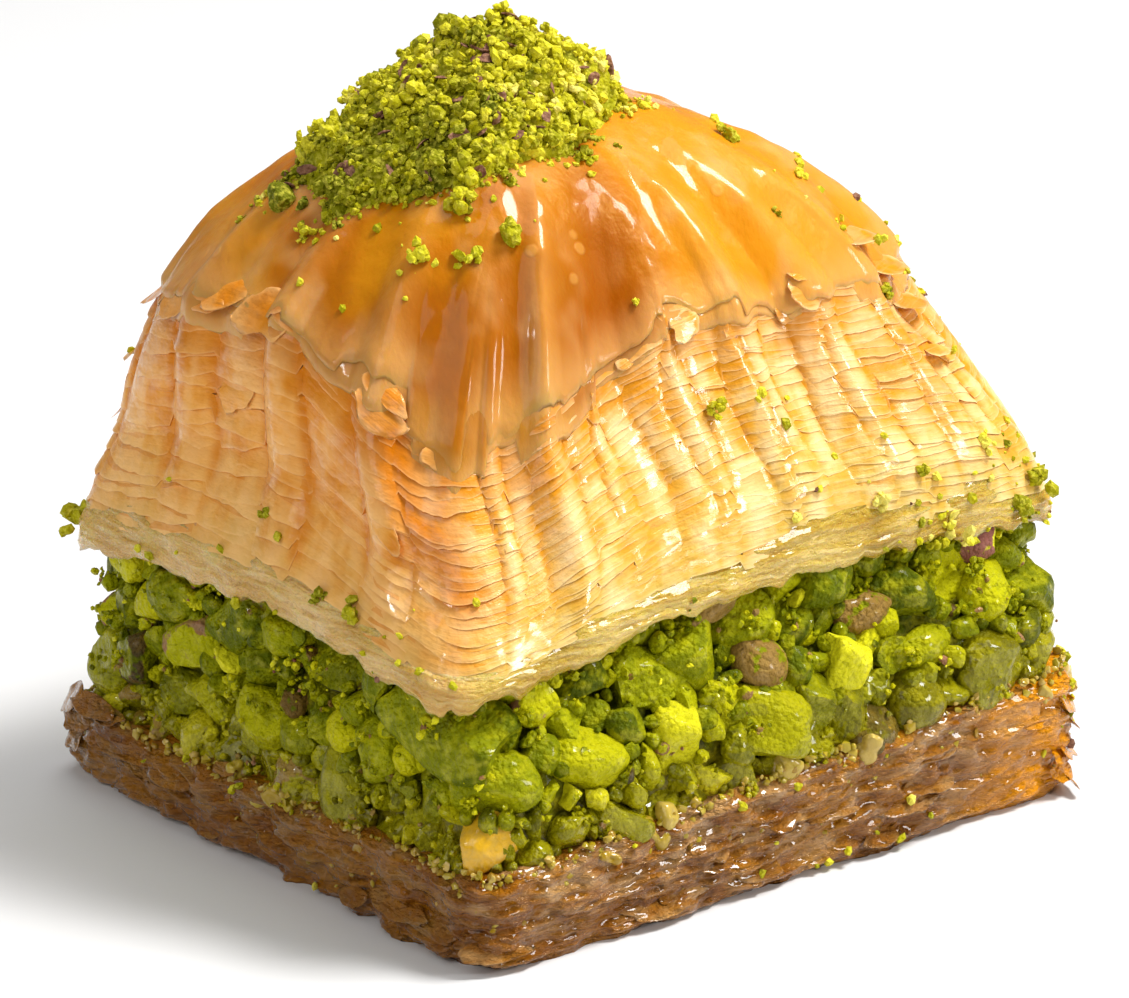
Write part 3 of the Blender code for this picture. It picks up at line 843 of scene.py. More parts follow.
# The top leaf, or a torn strip of the leaf below it, which ends lower.
def makeSkin(name, seed, below, proud, rows):
    rng = np.random.default_rng(seed)
    around, angle = ringOf(topSkin["columns"])
    edges = (np.arange(28) + rng.uniform(-0.38, 0.38, 28)) / 28 * wayRound
    tab, along = columnsAt(around, edges)
    hang = rng.uniform(-1, 1, 28)[tab]
    edge = topSkin["edge"] + topSkin["edgeVaries"] * hang - below
    edge = edge + 0.018 * ringWaves(around, 1.8 * mm, 51) + 0.008 * ringWaves(around, 0.6 * mm, 52)
    for place, width, drop in topSkin["tips"]:
        edge = edge - drop / 17 * np.maximum(0, 1 - np.abs(ringGap(around, place * mm)) / (width * mm))
    # Painted light: sunny marks the lit faces that the skin finish paints paler.
    sunny = smooth(16 * mm, 24 * mm, around) * smooth(110 * mm, 70 * mm, around)
    # Painted shade: the pocket marks the hollow of the fold at 14.5 mm, which the skin finish paints darker.
    shadedPocket = np.exp(-((ringGap(around, 14.5 * mm) / (4.2 * mm)) ** 2))
    rings, crest, rim, hollowShade = [], [], [], []
    for share, depth in ((0.35, 2.0), (0.12, 1.0), (0.05, 0.35), (0.015, 0.14)):
        level = edge + share
        tab, along = columnAt(around, 1.0)
        relief = folds(around, level) + columnRelief(tab, along, level)
        rings.append(lidPlaces(angle, level, proud + relief - depth * mm))
        crest.append(np.zeros_like(around))
        rim.append(np.ones_like(around))
        hollowShade.append(shadedPocket)
    for row in range(rows):
        share = (row / (rows - 1)) ** 1.25
        level = between(edge, 1.3 if below else 1.97, share)
        flat = lidPlaces(angle, level, 0.0)
        fold = folds(around, level)
        tab, along = columnAt(around, 1.0)
        relief = columnRelief(tab, along, level) * 0.8
        wrinkles = roughBumps(flat, (3.0 * mm, 3.0 * mm, 6 * mm), 53) * 0.17 * mm * smooth(2.0, 1.4, level)
        wrinkles = wrinkles * smooth(-0.02, 0.15, level - edge)
        curl = 0.14 * mm * smooth(0.06, 0.0, level - edge) * (0.2 + 0.8 * ringWaves(around, 3 * mm, 54))
        lap = -0.14 * mm * smooth(0.02, 0.0, level - edge)
        sunk = -2.0 * mm if below and row == rows - 1 else 0.0
        rings.append(lidPlaces(angle, level, proud + fold + relief + wrinkles + curl + lap + sunk))
        # Crest marks the fold crests, which the skin finish paints paler as a painted highlight.
        crest.append(np.clip(fold / (0.8 * mm), 0, 1))
        rim.append(smooth(0.12, 0.0, level - edge) + (0.3 if below else 0.0))
        hollowShade.append(shadedPocket * smooth(1.7, 1.35, level))
    values = {"crest": np.array(crest), "rim": np.array(rim), "hollowShade": np.array(hollowShade),
              "sunny": np.broadcast_to(sunny, np.shape(rim))}
    return addLoft(name, rings, skin, "top_pastry", values)


def makeSkins():
    under = makeSkin("underSkin", 9, 0.07, topSkin["proud"] - 0.13 * mm, 14)
    return [under, makeSkin("topSkin", 8, 0.0, topSkin["proud"], topSkin["rows"])]


lidPieces = makeLeaves() + [makeFoot()] + makeSkins() + [makeFlakes()]
print("lid made")


base = {
    "height": 5.9 * mm,  # at the middle
    "tilt": (0.055, -0.03),
    "power": 22.0,
    "columns": 600,
    "rows": 44,
    "leaf": 0.5 * mm,
    "relief": 0.22 * mm,
    "lumps": 0.42 * mm,
}


def baseTop(x, y):
    return base["height"] + base["tilt"][0] * x + base["tilt"][1] * y


def makeBase():
    around, angle = ringOf(base["columns"])
    flat = np.stack(outline(angle, *baseHalf, base["power"]), axis=-1)
    outward = flat / np.linalg.norm(flat, axis=1, keepdims=True)
    rings, ridge, level = [], [], []

    def addRing(out, height, ridges, share=1.0):
        plan = flat + outward * np.broadcast_to(out, around.shape)[:, None]
        rings.append(np.concatenate([plan, np.broadcast_to(height, around.shape)[:, None]], axis=1))
        ridge.append(np.broadcast_to(ridges, around.shape))
        level.append(np.full(len(around), share))

    for inset in (16 * mm, 8 * mm, 3 * mm, 1 * mm):
        addRing(-inset, 0.0, 0.0)
    tall = baseTop(flat[:, 0], flat[:, 1])
    tall = tall + 0.35 * mm * ringWaves(around, 5 * mm, 67) + 0.25 * mm * ringWaves(around, 1.5 * mm, 68)
    for row in range(base["rows"]):
        share = row / (base["rows"] - 1)
        spot = np.stack([flat[:, 0], flat[:, 1], tall * share], axis=-1)
        sway = bumps(spot, (4 * mm, 4 * mm, 3 * mm), 61) * 0.9 * mm + bumps(spot, 1.6 * mm, 64) * 0.25 * mm
        phase = (spot[:, 2] + sway) / base["leaf"]
        leaf, part = np.floor(phase), phase % 1
        saw = np.sin(np.pi * part) ** 0.7
        spread = spot.copy()
        spread[:, 2] = leaf * 7 * mm
        each = bumps(spread, (2.0 * mm, 2.0 * mm, 1 * mm), 62)
        lumps = roughBumps(spot, (1.5 * mm, 1.5 * mm, 1.0 * mm), 63, 4) * base["lumps"]
        lumps = lumps + pebbles(spot, 0.9 * mm, 66) * 0.2 * mm * smooth(0.35, 0.9, share)
        drip = np.maximum(0, bumps(spot, (1.4 * mm, 1.4 * mm, 5 * mm), 65)) * 0.3 * mm * smooth(0.2, 0.8, share)
        rounding = 0.5 * mm * (smooth(0.1, 0.0, share) + smooth(0.9, 1.0, share))
        out = base["relief"] * (saw * (0.6 + 1.2 * each) + 0.5 * each) + lumps + drip - rounding
        # Painted highlight: ridge marks where each leaf stands off, which the syrup finish paints lighter.
        addRing(np.minimum(out, 0.55 * mm), spot[:, 2], saw * smooth(-0.2, 0.7, each), share)
    for inset in (1.2 * mm, 3 * mm, 8 * mm, 16 * mm):
        plan = flat - outward * inset
        addRing(-inset, baseTop(plan[:, 0], plan[:, 1]), 0.0)
    shape = np.shape(ridge)
    # Painted glow: glow marks the corner at +X, -Y, which the syrup finish paints bright orange.
    glow = np.broadcast_to(smooth(11 * mm, 2 * mm, np.abs(ringGap(around, sideX))), shape)
    broad = np.broadcast_to(broadSide(around), shape)
    return addLoft("baseSlab", rings, syrup, "base_pastry",
                   {"ridge": np.array(ridge), "glow": glow, "broad": broad, "level": np.array(level)})


# Leaf tips that stand off the base: place along the way round, height, half width, half length and reach in mm.
baseTips = {
    "thickness": 0.09 * mm,
    "shown": (
        (124.8, 4.5, 1.6, 0.8, 0.8), (126.2, 3.6, 1.5, 0.9, 0.8), (122.6, 3.2, 1.4, 0.8, 0.8), (125.0, 2.0, 1.3, 0.6, 0.6),
        (42.4, 5.6, 1.2, 0.8, 0.7), (43.6, 4.2, 1.3, 0.7, 0.8), (42.6, 2.6, 1.2, 0.6, 0.8), (41.8, 1.4, 1.3, 0.5, 0.7),
        (44.6, 5.4, 1.2, 0.6, 0.6), (0.4, 1.2, 1.8, 0.5, 0.5),
    ),
    "others": 50,
}


def makeBaseTips():
    rng = np.random.default_rng(68)
    gathered = Gathered()
    ball, faces = balls[3]

    def addTip(around, height, width, length, reach):
        angle = angleAt(around)
        (x, y), (nextX, nextY) = (outline(turn, *baseHalf, base["power"]) for turn in (angle, angle + 0.02))
        across = np.array((nextX - x, nextY - y, 0.0))
        across /= np.linalg.norm(across)
        out = np.array((across[1], -across[0], 0.0))
        shift = rng.uniform(-50, 50, 3)
        torn = 1 + 0.35 * bumps(ball * (1, 1, 0) + shift, 0.7, 69) + 0.15 * bumps(ball * (1, 1, 0) + shift, 0.3, 70)
        u, v, w = (ball * (1, 1, 0.2) * torn[:, None]).T
        away = reach * (0.5 - 0.5 * v) ** 2 + 0.1 * bumps(ball + shift, 0.8, 71) - 0.3 * smooth(0.0, 1.0, v)
        spots = np.array((x, y, height * mm)) + across * (u * width * mm)[:, None]
        spots = spots + out * (away * mm + ball[:, 2] * baseTips["thickness"])[:, None]
        spots[:, 2] = np.maximum(spots[:, 2] + v * length * mm, 0.1 * mm)
        corner = abs(ringGap(around, sideX))
        # Painted highlight: ridge makes the standing tips lighter, and glow paints the corner at +X, -Y orange.
        gathered.add(spots, faces, ridge=0.6, glow=smooth(11 * mm, 2 * mm, corner), broad=float(broadSide(around)),
                     level=0.7)

    for shown in baseTips["shown"]:
        addTip(shown[0] * mm, *shown[1:])
    for _ in range(baseTips["others"]):
        addTip(rng.uniform(0, wayRound), rng.uniform(0.8, 5.6), rng.uniform(0.9, 2.6), rng.uniform(0.25, 0.6),
               rng.uniform(0.3, 0.8))
    return gathered.piece("baseTips", syrup, "soaked_pastry", "base_pastry")


basePiece = makeBase()
makeBaseTips()
print("base made")


filling = {
    "footHalf": (baseHalf[0] - 0.3 * mm, baseHalf[1] - 0.3 * mm),
    "topHalf": (baseHalf[0] - 0.1 * mm, baseHalf[1] - 2.2 * mm),
    "power": 14.0,
    "coreInset": (1.5 * mm, 3.6 * mm),  # at the base and under the lid
    # Kinds of nut: how many, smallest and largest radius in mm, fineness of mesh, how deep it may sit in mm.
    "kinds": ((30, 2.0, 2.7, 4, 0.0), (26, 1.6, 2.0, 4, 0.3), (80, 1.2, 1.6, 3, 0.4), (200, 0.8, 1.2, 3, 0.8),
              (420, 0.4, 0.8, 2, 0.8)),
    "overlap": 0.76,
    "crumbs": 1400,
    "clusters": 240,
    # The nuts that stand out: place on the face, half sizes along, inward and up in mm, form, tone and skin.
    "shown": (
        ((-20.2, -14.6, 12.0), (3.9, 2.1, 2.0), "block", 0.22, 0), ((-8.4, -17.3, 13.0), (3.0, 2.0, 1.9), "chunk", 0.5, 0),
        ((-0.9, -19.0, 8.9), (2.6, 1.8, 2.0), "block", 0.68, 0), ((4.9, -18.6, 11.1), (1.3, 1.2, 1.8), "block", 1.0, 0),
        ((-20.6, -4.4, 13.6), (3.7, 2.0, 2.2), "half", 0.0, 1), ((-4.1, -16.5, 15.8), (2.8, 1.6, 1.2), "chunk", 0.55, 1),
        ((16.4, -16.7, 15.5), (1.8, 1.6, 1.7), "chunk", 1.0, 1), ((7.1, -17.4, 13.3), (2.1, 1.4, 1.2), "chunk", 0.5, 1),
        ((-15.3, -17.2, 13.1), (1.8, 1.5, 1.5), "chunk", 0.85, 1), ((-19.6, -17.6, 9.3), (2.6, 2.2, 2.1), "chunk", 0.5, 0),
        ((-0.8, -16.9, 14.6), (2.1, 1.8, 1.9), "chunk", 0.52, 0), ((5.0, -16.9, 15.5), (2.3, 1.8, 1.7), "chunk", 0.3, 0),
        ((-4.7, -17.1, 13.4), (2.8, 2.0, 2.4), "chunk", 0.45, 0), ((14.1, -17.4, 13.6), (2.5, 1.5, 1.7), "half", 0.8, 0),
        ((-20.8, 3.9, 13.4), (3.1, 2.0, 2.3), "chunk", 0.3, 0), ((-21.0, 9.1, 13.1), (2.4, 1.8, 2.1), "chunk", 0.42, 0),
        ((-20.9, 14.6, 14.2), (1.8, 1.5, 1.5), "chunk", 0.9, 0), ((-12.9, -18.7, 9.9), (2.7, 1.8, 1.6), "chunk", 0.75, 0),
        ((-21.2, -9.0, 9.6), (2.2, 1.8, 1.8), "chunk", 0.6, 0), ((-21.4, 1.0, 8.8), (2.4, 1.8, 1.8), "chunk", 0.7, 0),
        ((11.0, -18.3, 10.4), (2.6, 1.7, 1.5), "chunk", 0.62, 0), ((17.2, -17.8, 12.4), (2.2, 1.7, 1.7), "chunk", 0.75, 0),
        ((-7.0, -18.6, 9.6), (1.4, 1.2, 1.9), "block", 0.95, 0), ((-21.2, 13.6, 8.6), (2.0, 1.6, 1.9), "chunk", 0.12, 1),
    ),
}


def fillingPlace(angle, share, inset=0.0):
    rise = smooth(0.25, 1.0, share)
    footX, footY = outline(angle, *filling["footHalf"], filling["power"])
    topX, topY = outline(angle, *filling["topHalf"], filling["power"])
    x = between(footX, topX + lid["centre"][0], rise)
    y = between(footY, topY + lid["centre"][1], rise)
    length = np.hypot(x, y)
    x, y = x * (1 - inset / length), y * (1 - inset / length)
    z = between(baseTop(x, y), lidUnderside(x, y), share)
    return np.stack([x, y, z], axis=-1)


def makeFillingCore():
    around, angle = ringOf(320)
    rings = []
    for share, inset in ((0.02, 12), (0.02, 6), (0.03, 3)):
        rings.append(fillingPlace(angle, share, inset * mm))
    for row in range(30):
        share = between(0.03, 0.99, row / 29)
        inset = between(*filling["coreInset"], smooth(0.45, 0.95, share))
        spot = fillingPlace(angle, share, inset)
        out = 0.7 * mm * pebbles(spot, 1.5 * mm, 71) + 0.25 * mm * pebbles(spot, 0.6 * mm, 73)
        rings.append(fillingPlace(angle, share, inset - out + 0.5 * mm))
    for share, inset in ((0.99, 4.6), (0.99, 8), (0.99, 12)):
        rings.append(fillingPlace(angle, share, inset * mm))
    rings = np.array(rings)
    # Painted shade: the core between the nuts is toned dark, as shade in the gaps between them.
    tone = 0.15 + 0.2 * bumps(rings, 1.0 * mm, 72)
    share = np.linspace(0, 1, len(rings))[:, None] + 0 * tone
    return addLoft("fillingCore", rings, nuts, "nut_filling",
                   {"tone": tone, "cut": 0 * tone, "husk": 0.3 + 0 * tone, "wet": smooth(0.5, 0.0, share)})


# Big nuts are placed first, each clear of those before it, with its outer face near the cut.
def packNuts(rng, centres, radii):
    kinds = [-1] * len(radii)
    for kind, (count, least, most, _, deep) in enumerate(filling["kinds"]):
        placed = 0
        for attempt in range(count * 40):
            if placed == count:
                break
            radius = rng.uniform(least, most) * mm
            angle = angleAt(rng.uniform(0, wayRound))
            share = rng.uniform(0, 1) ** 1.1
            depth = radius * rng.uniform(0.7, 1.0) + rng.uniform(0, deep) * mm
            centre = fillingPlace(angle, share, depth)
            low, high = baseTop(*centre[:2]) - 0.1 * radius, lidUnderside(*centre[:2]) - 0.5 * radius
            centre[2] = between(low, high, share)
            gaps = np.linalg.norm(centres - centre, axis=1) - filling["overlap"] * (radii + radius)
            if len(radii) and gaps.min() < 0:
                continue
            centres, radii = np.vstack([centres, centre]), np.append(radii, radius)
            kinds.append(kind)
            placed += 1
        print(f"nuts of kind {kind}: {placed}")
    return centres, radii, kinds


# One chopped piece of nut: a stretched ball with flat cuts and a lumpy surface.
def nutShape(rng, fineness, sizes, form):
    points, faces = balls[fineness]
    cuts = []
    if form == "half":
        cuts = [((0, -1, 0.3), 0.2), ((1, 0, 0.2), rng.uniform(0.7, 1.2))]
    elif form == "block":
        for axis in ((0, 1, 0), (0, -1, 0), (0, 0, 1), (0, 0, -1), (1, 0, 0), (-1, 0, 0)):
            cuts.append((np.array(axis) + rng.normal(0, 0.2, 3), rng.uniform(0.58, 0.8)))
    else:
        for _ in range(rng.integers(3, 8)):
            cuts.append((rng.normal(size=3), rng.uniform(0.5, 0.85)))
    shaped = points
    cut = np.zeros(len(points))
    for normal, distance in cuts:
        normal = np.array(normal) / np.linalg.norm(normal)
        over = np.maximum(0, shaped @ normal - distance)
        shaped = shaped - over[:, None] * normal
        cut = np.maximum(cut, smooth(0.0, 0.08, over))
    if form == "half":
        groove = np.exp(-(shaped[:, 2] / 0.2) ** 2) * smooth(1.2, 0.5, np.abs(shaped[:, 0]))
        shaped = shaped + (0.2 * groove * cut)[:, None] * np.array([0, 1, 0])
    away = shaped / np.linalg.norm(shaped, axis=1, keepdims=True)
    shift = rng.uniform(-50, 50, 3)
    shaped = shaped * (1.3 if form == "block" else 1.0)
    radius = np.mean(sizes)
    real = shaped * sizes + shift * mm
    lumps = 0.14 * bumps(shaped + shift, 0.8, 81) * radius + 0.1 * mm * bumps(real, 0.7 * mm, 82)
    grit = rng.choice([0.06, 0.2, 0.36]) if form == "chunk" else 0.14
    lumps = lumps + grit * mm * (pebbles(real, 0.6 * mm, 83) - 0.6)
    return shaped * sizes + away * lumps[:, None], faces, cut


def wetness(centre):
    low, high = baseTop(centre[0], centre[1]), lidUnderside(centre[0], centre[1])
    return smooth(0.5, 0.0, (centre[2] - low) / (high - low))


def grain(rng, radius, fineness=1, rough=0.3):
    points, faces = balls[fineness]
    shaped = points * rng.uniform(0.65, 1.25, 3)
    shaped = shaped * (1 + rough * bumps(points + rng.uniform(-50, 50, 3), 0.7, 91)[:, None])
    return shaped @ randomTurn(rng).T * radius, faces


# A crumb of several grains that cling together.
def clump(rng, radius, fineness=1):
    count = rng.integers(8, 15)
    spread = rng.normal(0, 1, (count, 3)) * rng.uniform(0.35, 0.75, 3)
    for middle in spread @ randomTurn(rng).T:
        points, faces = grain(rng, radius * rng.uniform(0.22, 0.5), fineness, 0.5)
        yield points + middle * radius * 0.7, faces


def makeNuts():
    rng = np.random.default_rng(21)
    big, small, dust = Gathered(), Gathered(), Gathered()
    centres, radii, outs = [], [], []
    for place, sizes, form, tone, husk in filling["shown"]:
        place, sizes = np.array(place) * mm, np.array(sizes) * mm
        out = np.array([place[0] * (abs(place[0]) > 17 * mm), place[1] * (abs(place[1]) > 13 * mm), 0.0])
        out /= np.linalg.norm(out)
        centre = place - out * sizes[1] * 0.75
        frameOf = np.stack([(-out[1], out[0], 0.0), -out, (0.0, 0.0, 1.0)], axis=1)
        lean = Quaternion((1, *rng.normal(0, 0.12, 3))).normalized().to_matrix()
        points, faces, cut = nutShape(rng, 5 if sizes[0] > 2.9 * mm else 4, sizes, form)
        big.add(points @ np.array(lean).T @ frameOf.T + centre, faces, tone=tone, cut=cut, husk=float(husk),
                wet=wetness(centre))
        centres.append(centre)
        radii.append(sizes.mean())
    centres, radii, kinds = packNuts(rng, np.array(centres), np.array(radii))
    for centre, radius, kind in zip(centres, radii, kinds):
        if kind < 0:
            continue
        form = rng.choice(["chunk", "half", "block"], p=[0.8, 0.08, 0.12])
        sizes = radius * rng.uniform(0.75, 1.3, 3)
        points, faces, cut = nutShape(rng, filling["kinds"][kind][3], sizes, form)
        tone = np.clip(rng.normal(0.45, 0.26), 0, 1)
        husk = float(rng.uniform() < (0.14 if kind < 3 else 0.1))
        (big if kind < 3 else small).add(points @ randomTurn(rng).T + centre, faces, tone=tone, cut=cut, husk=husk,
                                         wet=wetness(centre))

    # Crumbs stick to the outer faces of the nuts, one by one and in clusters.
    def addCrumb(spot, size, tone):
        points, faces = grain(rng, size * mm, 1, 0.5)
        dust.add(points + spot, faces, tone=np.clip(tone, 0, 1), husk=float(rng.uniform() < 0.06), cut=0.0,
                 wet=wetness(spot))

    def spotOn(pick):
        way = rng.normal(size=3) * (1, 1, 0.8) + 1.5 * centres[pick] * (1, 1, 0) / np.linalg.norm(centres[pick][:2])
        way = way + (0, 0, 0.3)
        return centres[pick] + way / np.linalg.norm(way) * radii[pick] * rng.uniform(0.85, 1.0)

    weights = radii ** 2 / (radii ** 2).sum()
    for pick in rng.choice(len(radii), filling["crumbs"], p=weights):
        addCrumb(spotOn(pick), rng.uniform(0.07, 0.24), rng.normal(0.6, 0.22))
    for pick in rng.choice(len(radii), filling["clusters"], p=weights):
        middle, spread, tone = spotOn(pick), rng.uniform(0.2, 0.5), rng.normal(0.65, 0.18)
        for _ in range(rng.integers(5, 16)):
            addCrumb(middle + rng.normal(0, spread, 3) * mm, rng.uniform(0.08, 0.26), tone + rng.normal(0, 0.1))
    big.piece("nutChunks", nuts, "chopped_nuts", "nut_filling", 38)
    small.piece("nutBits", nuts, "chopped_nuts", "nut_filling", 38)
    dust.piece("nutCrumbs", nuts, "chopped_nuts", "nut_filling", 20)


makeFillingCore()
makeNuts()
print("filling made")


# Wet nut meal pressed into the upper part of the base's sides.
mealBand = {"grains": 1500, "sizes": (0.08, 0.3), "lumps": 26}


def makeMeal():
    rng = np.random.default_rng(44)
    grains = Gathered()

    def addGrain(around, share, radius, fineness=1, tone=None):
        x, y = outline(angleAt(around), *baseHalf, base["power"])
        inset = rng.uniform(0.1, 0.8) * radius
        length = math.hypot(x, y)
        spot = np.array([x * (1 - inset / length), y * (1 - inset / length), baseTop(x, y) * share])
        points, faces = grain(rng, radius, fineness, 0.5)
        tone = np.clip(rng.normal(0.3 + 0.35 * share, 0.2), 0, 0.9) if tone is None else tone
        grains.add(points + spot, faces, tone=tone)

    for _ in range(mealBand["grains"]):
        share = 1.06 - rng.exponential(0.24)
        if share > 0.05:
            addGrain(rng.uniform(0, wayRound), share, rng.uniform(*mealBand["sizes"]) * mm * between(0.5, 1.0, share))
    for _ in range(mealBand["lumps"]):  # bigger bits that slid down from the filling
        addGrain(rng.uniform(0, wayRound), rng.uniform(0.75, 1.05), rng.uniform(0.4, 0.9) * mm, 3)
    points, faces, _ = nutShape(rng, 4, np.array((2.0, 1.6, 2.2)) * mm, "chunk")  # the golden bit at the near corner
    grains.add(points + np.array((-19.3, -17.0, 6.3)) * mm, faces, tone=1.0)
    grains.piece("syrupMeal", meal, "soaked_pastry", "base_pastry", 50)


makeMeal()
print("meal made")


heap = {
    "columns": 300,
    "rows": 52,
    "lump": (2.1 * mm, 0.95 * mm),  # size and height
    "pebble": (0.75 * mm, 0.4 * mm),
    "sand": (0.4 * mm, 0.2 * mm),
    "grains": 1900,
    "sizes": (0.1, 0.34),
    "clumps": 170,
    "fringe": 420,  # crumbs just beyond its rim
    "husks": 84,
}


def surfaceOf(piece):
    mesh = piece.data
    return BVHTree.FromPolygons([vertex.co.copy() for vertex in mesh.vertices],
                                [list(face.vertices) for face in mesh.polygons])


heapSurface = surfaceOf(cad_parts["nut_heap"])
heapMiddle = ((heapLow + heapHigh) / 2)


def heapHeight(x, y):
    hit = heapSurface.ray_cast(Vector((x, y, 1.0)), Vector((0, 0, -1)))[0]
    return hit.z if hit else None


def makeHeap():
    rng = np.random.default_rng(33)
    # The rim is found by stepping out from the middle until the solid's heap ends.
    turns = np.arange(heap["columns"]) / heap["columns"] * 2 * math.pi
    reach = []
    for turn in turns:
        steps = [step for step in np.arange(1, 14, 0.2) * mm
                 if heapHeight(heapMiddle.x + math.cos(turn) * step, heapMiddle.y + math.sin(turn) * step)]
        reach.append(max(steps))
    ragged = bumps(np.stack([np.cos(turns), np.sin(turns), 0 * turns], axis=1) * 9, 1.6, 39)
    reach = (np.array(reach) - 0.3 * mm) * (0.95 + 0.07 * ragged)
    rings = []
    for row in range(heap["rows"]):
        share = 1 - row / heap["rows"]
        ring = []
        for turn, far in zip(turns, reach):
            x, y = heapMiddle.x + math.cos(turn) * far * share, heapMiddle.y + math.sin(turn) * far * share
            ring.append((x, y, heapHeight(x, y) or heapLow.z))
        rings.append(ring)
    rings = np.array(rings)
    rings[..., 2] -= 0.9 * mm * smooth(0.8, 1.0, 1 - np.arange(heap["rows"]) / heap["rows"])[:, None]
    lump = sum(pebbles(rings, heap[key][0], seed) * heap[key][1] for key, seed in
               (("lump", 35), ("pebble", 36), ("sand", 37)))
    away = rings - np.array([heapMiddle.x, heapMiddle.y, heapLow.z - 3 * mm])
    away /= np.linalg.norm(away, axis=-1, keepdims=True)
    rings = rings + away * (lump - 1.15 * mm)[..., None]
    under = rings[0] - np.array([0, 0, 2.0 * mm])
    # Painted shade: the core is toned darker than the grains, as shade in the gaps between them, and darker still
    # towards -X, away from the light.
    tone = np.clip(0.3 + 0.35 * bumps(rings, 1.3 * mm, 38) + 0.012 * (rings[..., 0] - heapMiddle.x) / mm, 0, 1)
    tone = np.concatenate([tone[:1], tone])
    addLoft("heapCore", np.concatenate([under[None], rings]), crumbs, "nut_heap",
            {"tone": tone, "husk": 0 * tone})
    return rings


heapRings = makeHeap()


def makeHeapGrains():
    rng = np.random.default_rng(34)
    grains = Gathered()
    rows, around = heapRings.shape[:2]
    middle = np.array(heapMiddle)
    skinTree = surfaceOf(lidPieces[-2])

    def onHeap(count):
        row = (rows * (1 - np.sqrt(rng.uniform(0, 1, count)))).astype(int)
        return heapRings[np.minimum(row, rows - 1), rng.integers(0, around, count)]

    def shade(spot):  # darker towards -X, away from the light
        return 0.58 + 0.04 * (spot[0] - middle[0]) / mm

    def addClump(spot, radius, fineness=1):
        tone = np.clip(rng.normal(shade(spot), 0.2), 0, 1)
        for points, faces in clump(rng, radius * mm, fineness):
            grains.add(points + spot, faces, tone=np.clip(tone + rng.normal(0, 0.07), 0, 1), husk=0.0)

    for spot in onHeap(heap["grains"]):
        points, faces = grain(rng, rng.uniform(*heap["sizes"]) * mm, 1, 0.5)
        grains.add(points + spot + (0, 0, 0.1 * mm), faces, tone=np.clip(rng.normal(shade(spot), 0.2), 0, 1), husk=0.0)
    for spot in onHeap(heap["clumps"]):
        addClump(spot + (0, 0, 0.1 * mm), rng.uniform(0.45, 1.1), int(rng.choice([1, 2], p=[0.85, 0.15])))
    for _ in range(heap["fringe"]):
        rim = heapRings[0, rng.integers(0, around)]
        x, y = (middle + (rim - middle) * (0.92 + abs(rng.normal(0, 0.13))))[:2]
        hit = skinTree.ray_cast(Vector((x, y, 1.0)), Vector((0, 0, -1)))[0]
        if hit is None:
            continue
        if rng.uniform() < 0.1:
            addClump(np.array(hit), rng.uniform(0.35, 0.65))
        else:
            points, faces = grain(rng, rng.uniform(0.08, 0.3) * mm, 1, 0.5)
            grains.add(points + np.array(hit), faces, tone=np.clip(rng.normal(0.6, 0.2), 0, 1), husk=0.0)
    for spot in onHeap(heap["husks"]):
        points, faces = balls[2]
        shaped = points * (rng.uniform(0.3, 0.75), rng.uniform(0.2, 0.42), 0.08) * mm
        shaped = shaped * (1 + 0.3 * bumps(points + rng.uniform(-50, 50, 3), 0.8, 92)[:, None])
        shaped[:, 2] += shaped[:, 0] ** 2 * 300
        grains.add(shaped @ randomTurn(rng).T + spot + (0, 0, 0.25 * mm), faces, tone=0.5, husk=1.0)
    return grains


grainsOnTop = makeHeapGrains()

# Crumbs that fell off the heap: a place near the surface and a size, all in mm.
looseCrumbs = (
    (-15.8, 3.2, 34.7, 0.6), (-14.2, -4.7, 34.8, 0.8), (-12.1, -6.8, 35.2, 0.9), (-9.9, -7.2, 36.0, 0.7),
    (-10.8, -4.1, 37.5, 0.9), (7.7, -4.7, 38.1, 0.7), (6.8, -9.6, 34.5, 0.4), (11, -9.7, 33.2, 0.5),
    (10.5, -7.4, 35.4, 0.6), (12.8, -12, 29.3, 0.5), (-4.4, -11.4, 32.4, 0.25), (2, -14.3, 26.5, 0.7),
    (-1.4, -14.7, 26.4, 0.6), (16.8, -16.1, 21, 0.7), (11.8, -16.7, 20.6, 0.6), (8.5, -17.2, 19.7, 0.8),
    (-20.8, 0.3, 20.7, 0.6), (-21.8, -5.4, 17.8, 0.6), (-21.7, -7.9, 17.7, 0.8), (-23.0, 20.6, 15.6, 1.3),
    (20.5, -17.6, 18.6, 1.0), (18.6, -17.8, 17.2, 0.8), (13.5, -17.9, 17.0, 0.9), (12.2, -18.1, 15.9, 0.6),
)
# Bigger bits at the foot of the heap: place, size and tone.
looseBits = ((-11.7, 7.0, 36.5, 1.1, 0.8), (-8.3, 0.2, 38.0, 1.15, 1.0), (-15.0, 6.3, 35.5, 0.8, 0.1),
             (-9.9, -7.2, 36.0, 0.75, 0.35), (-5.5, -3.5, 38.5, 0.8, 0.75))
# Scattered crumbs: middle of a patch, its spread in mm and how many.
crumbPatches = ((20.0, -17.5, 18.0, 2.2, 34), (13.0, -17.8, 17.5, 2.0, 26), (6.0, -17.5, 19.5, 3.0, 16),
                (-21.5, 2.0, 18.0, 4.0, 18), (16.0, -9.0, 32.0, 4.5, 40), (-14.0, -2.0, 35.0, 3.5, 26),
                (0.0, 20.0, 24.0, 12.0, 40), (22.0, 5.0, 24.0, 10.0, 30), (-21.8, -12.0, 15.5, 2.5, 12),
                (21.8, -18.6, 7.6, 1.3, 30), (21.8, -18.8, 4.5, 1.2, 12), (4.0, -19.5, 4.0, 5.0, 26),
                (-22.0, 4.0, 4.5, 5.0, 20))


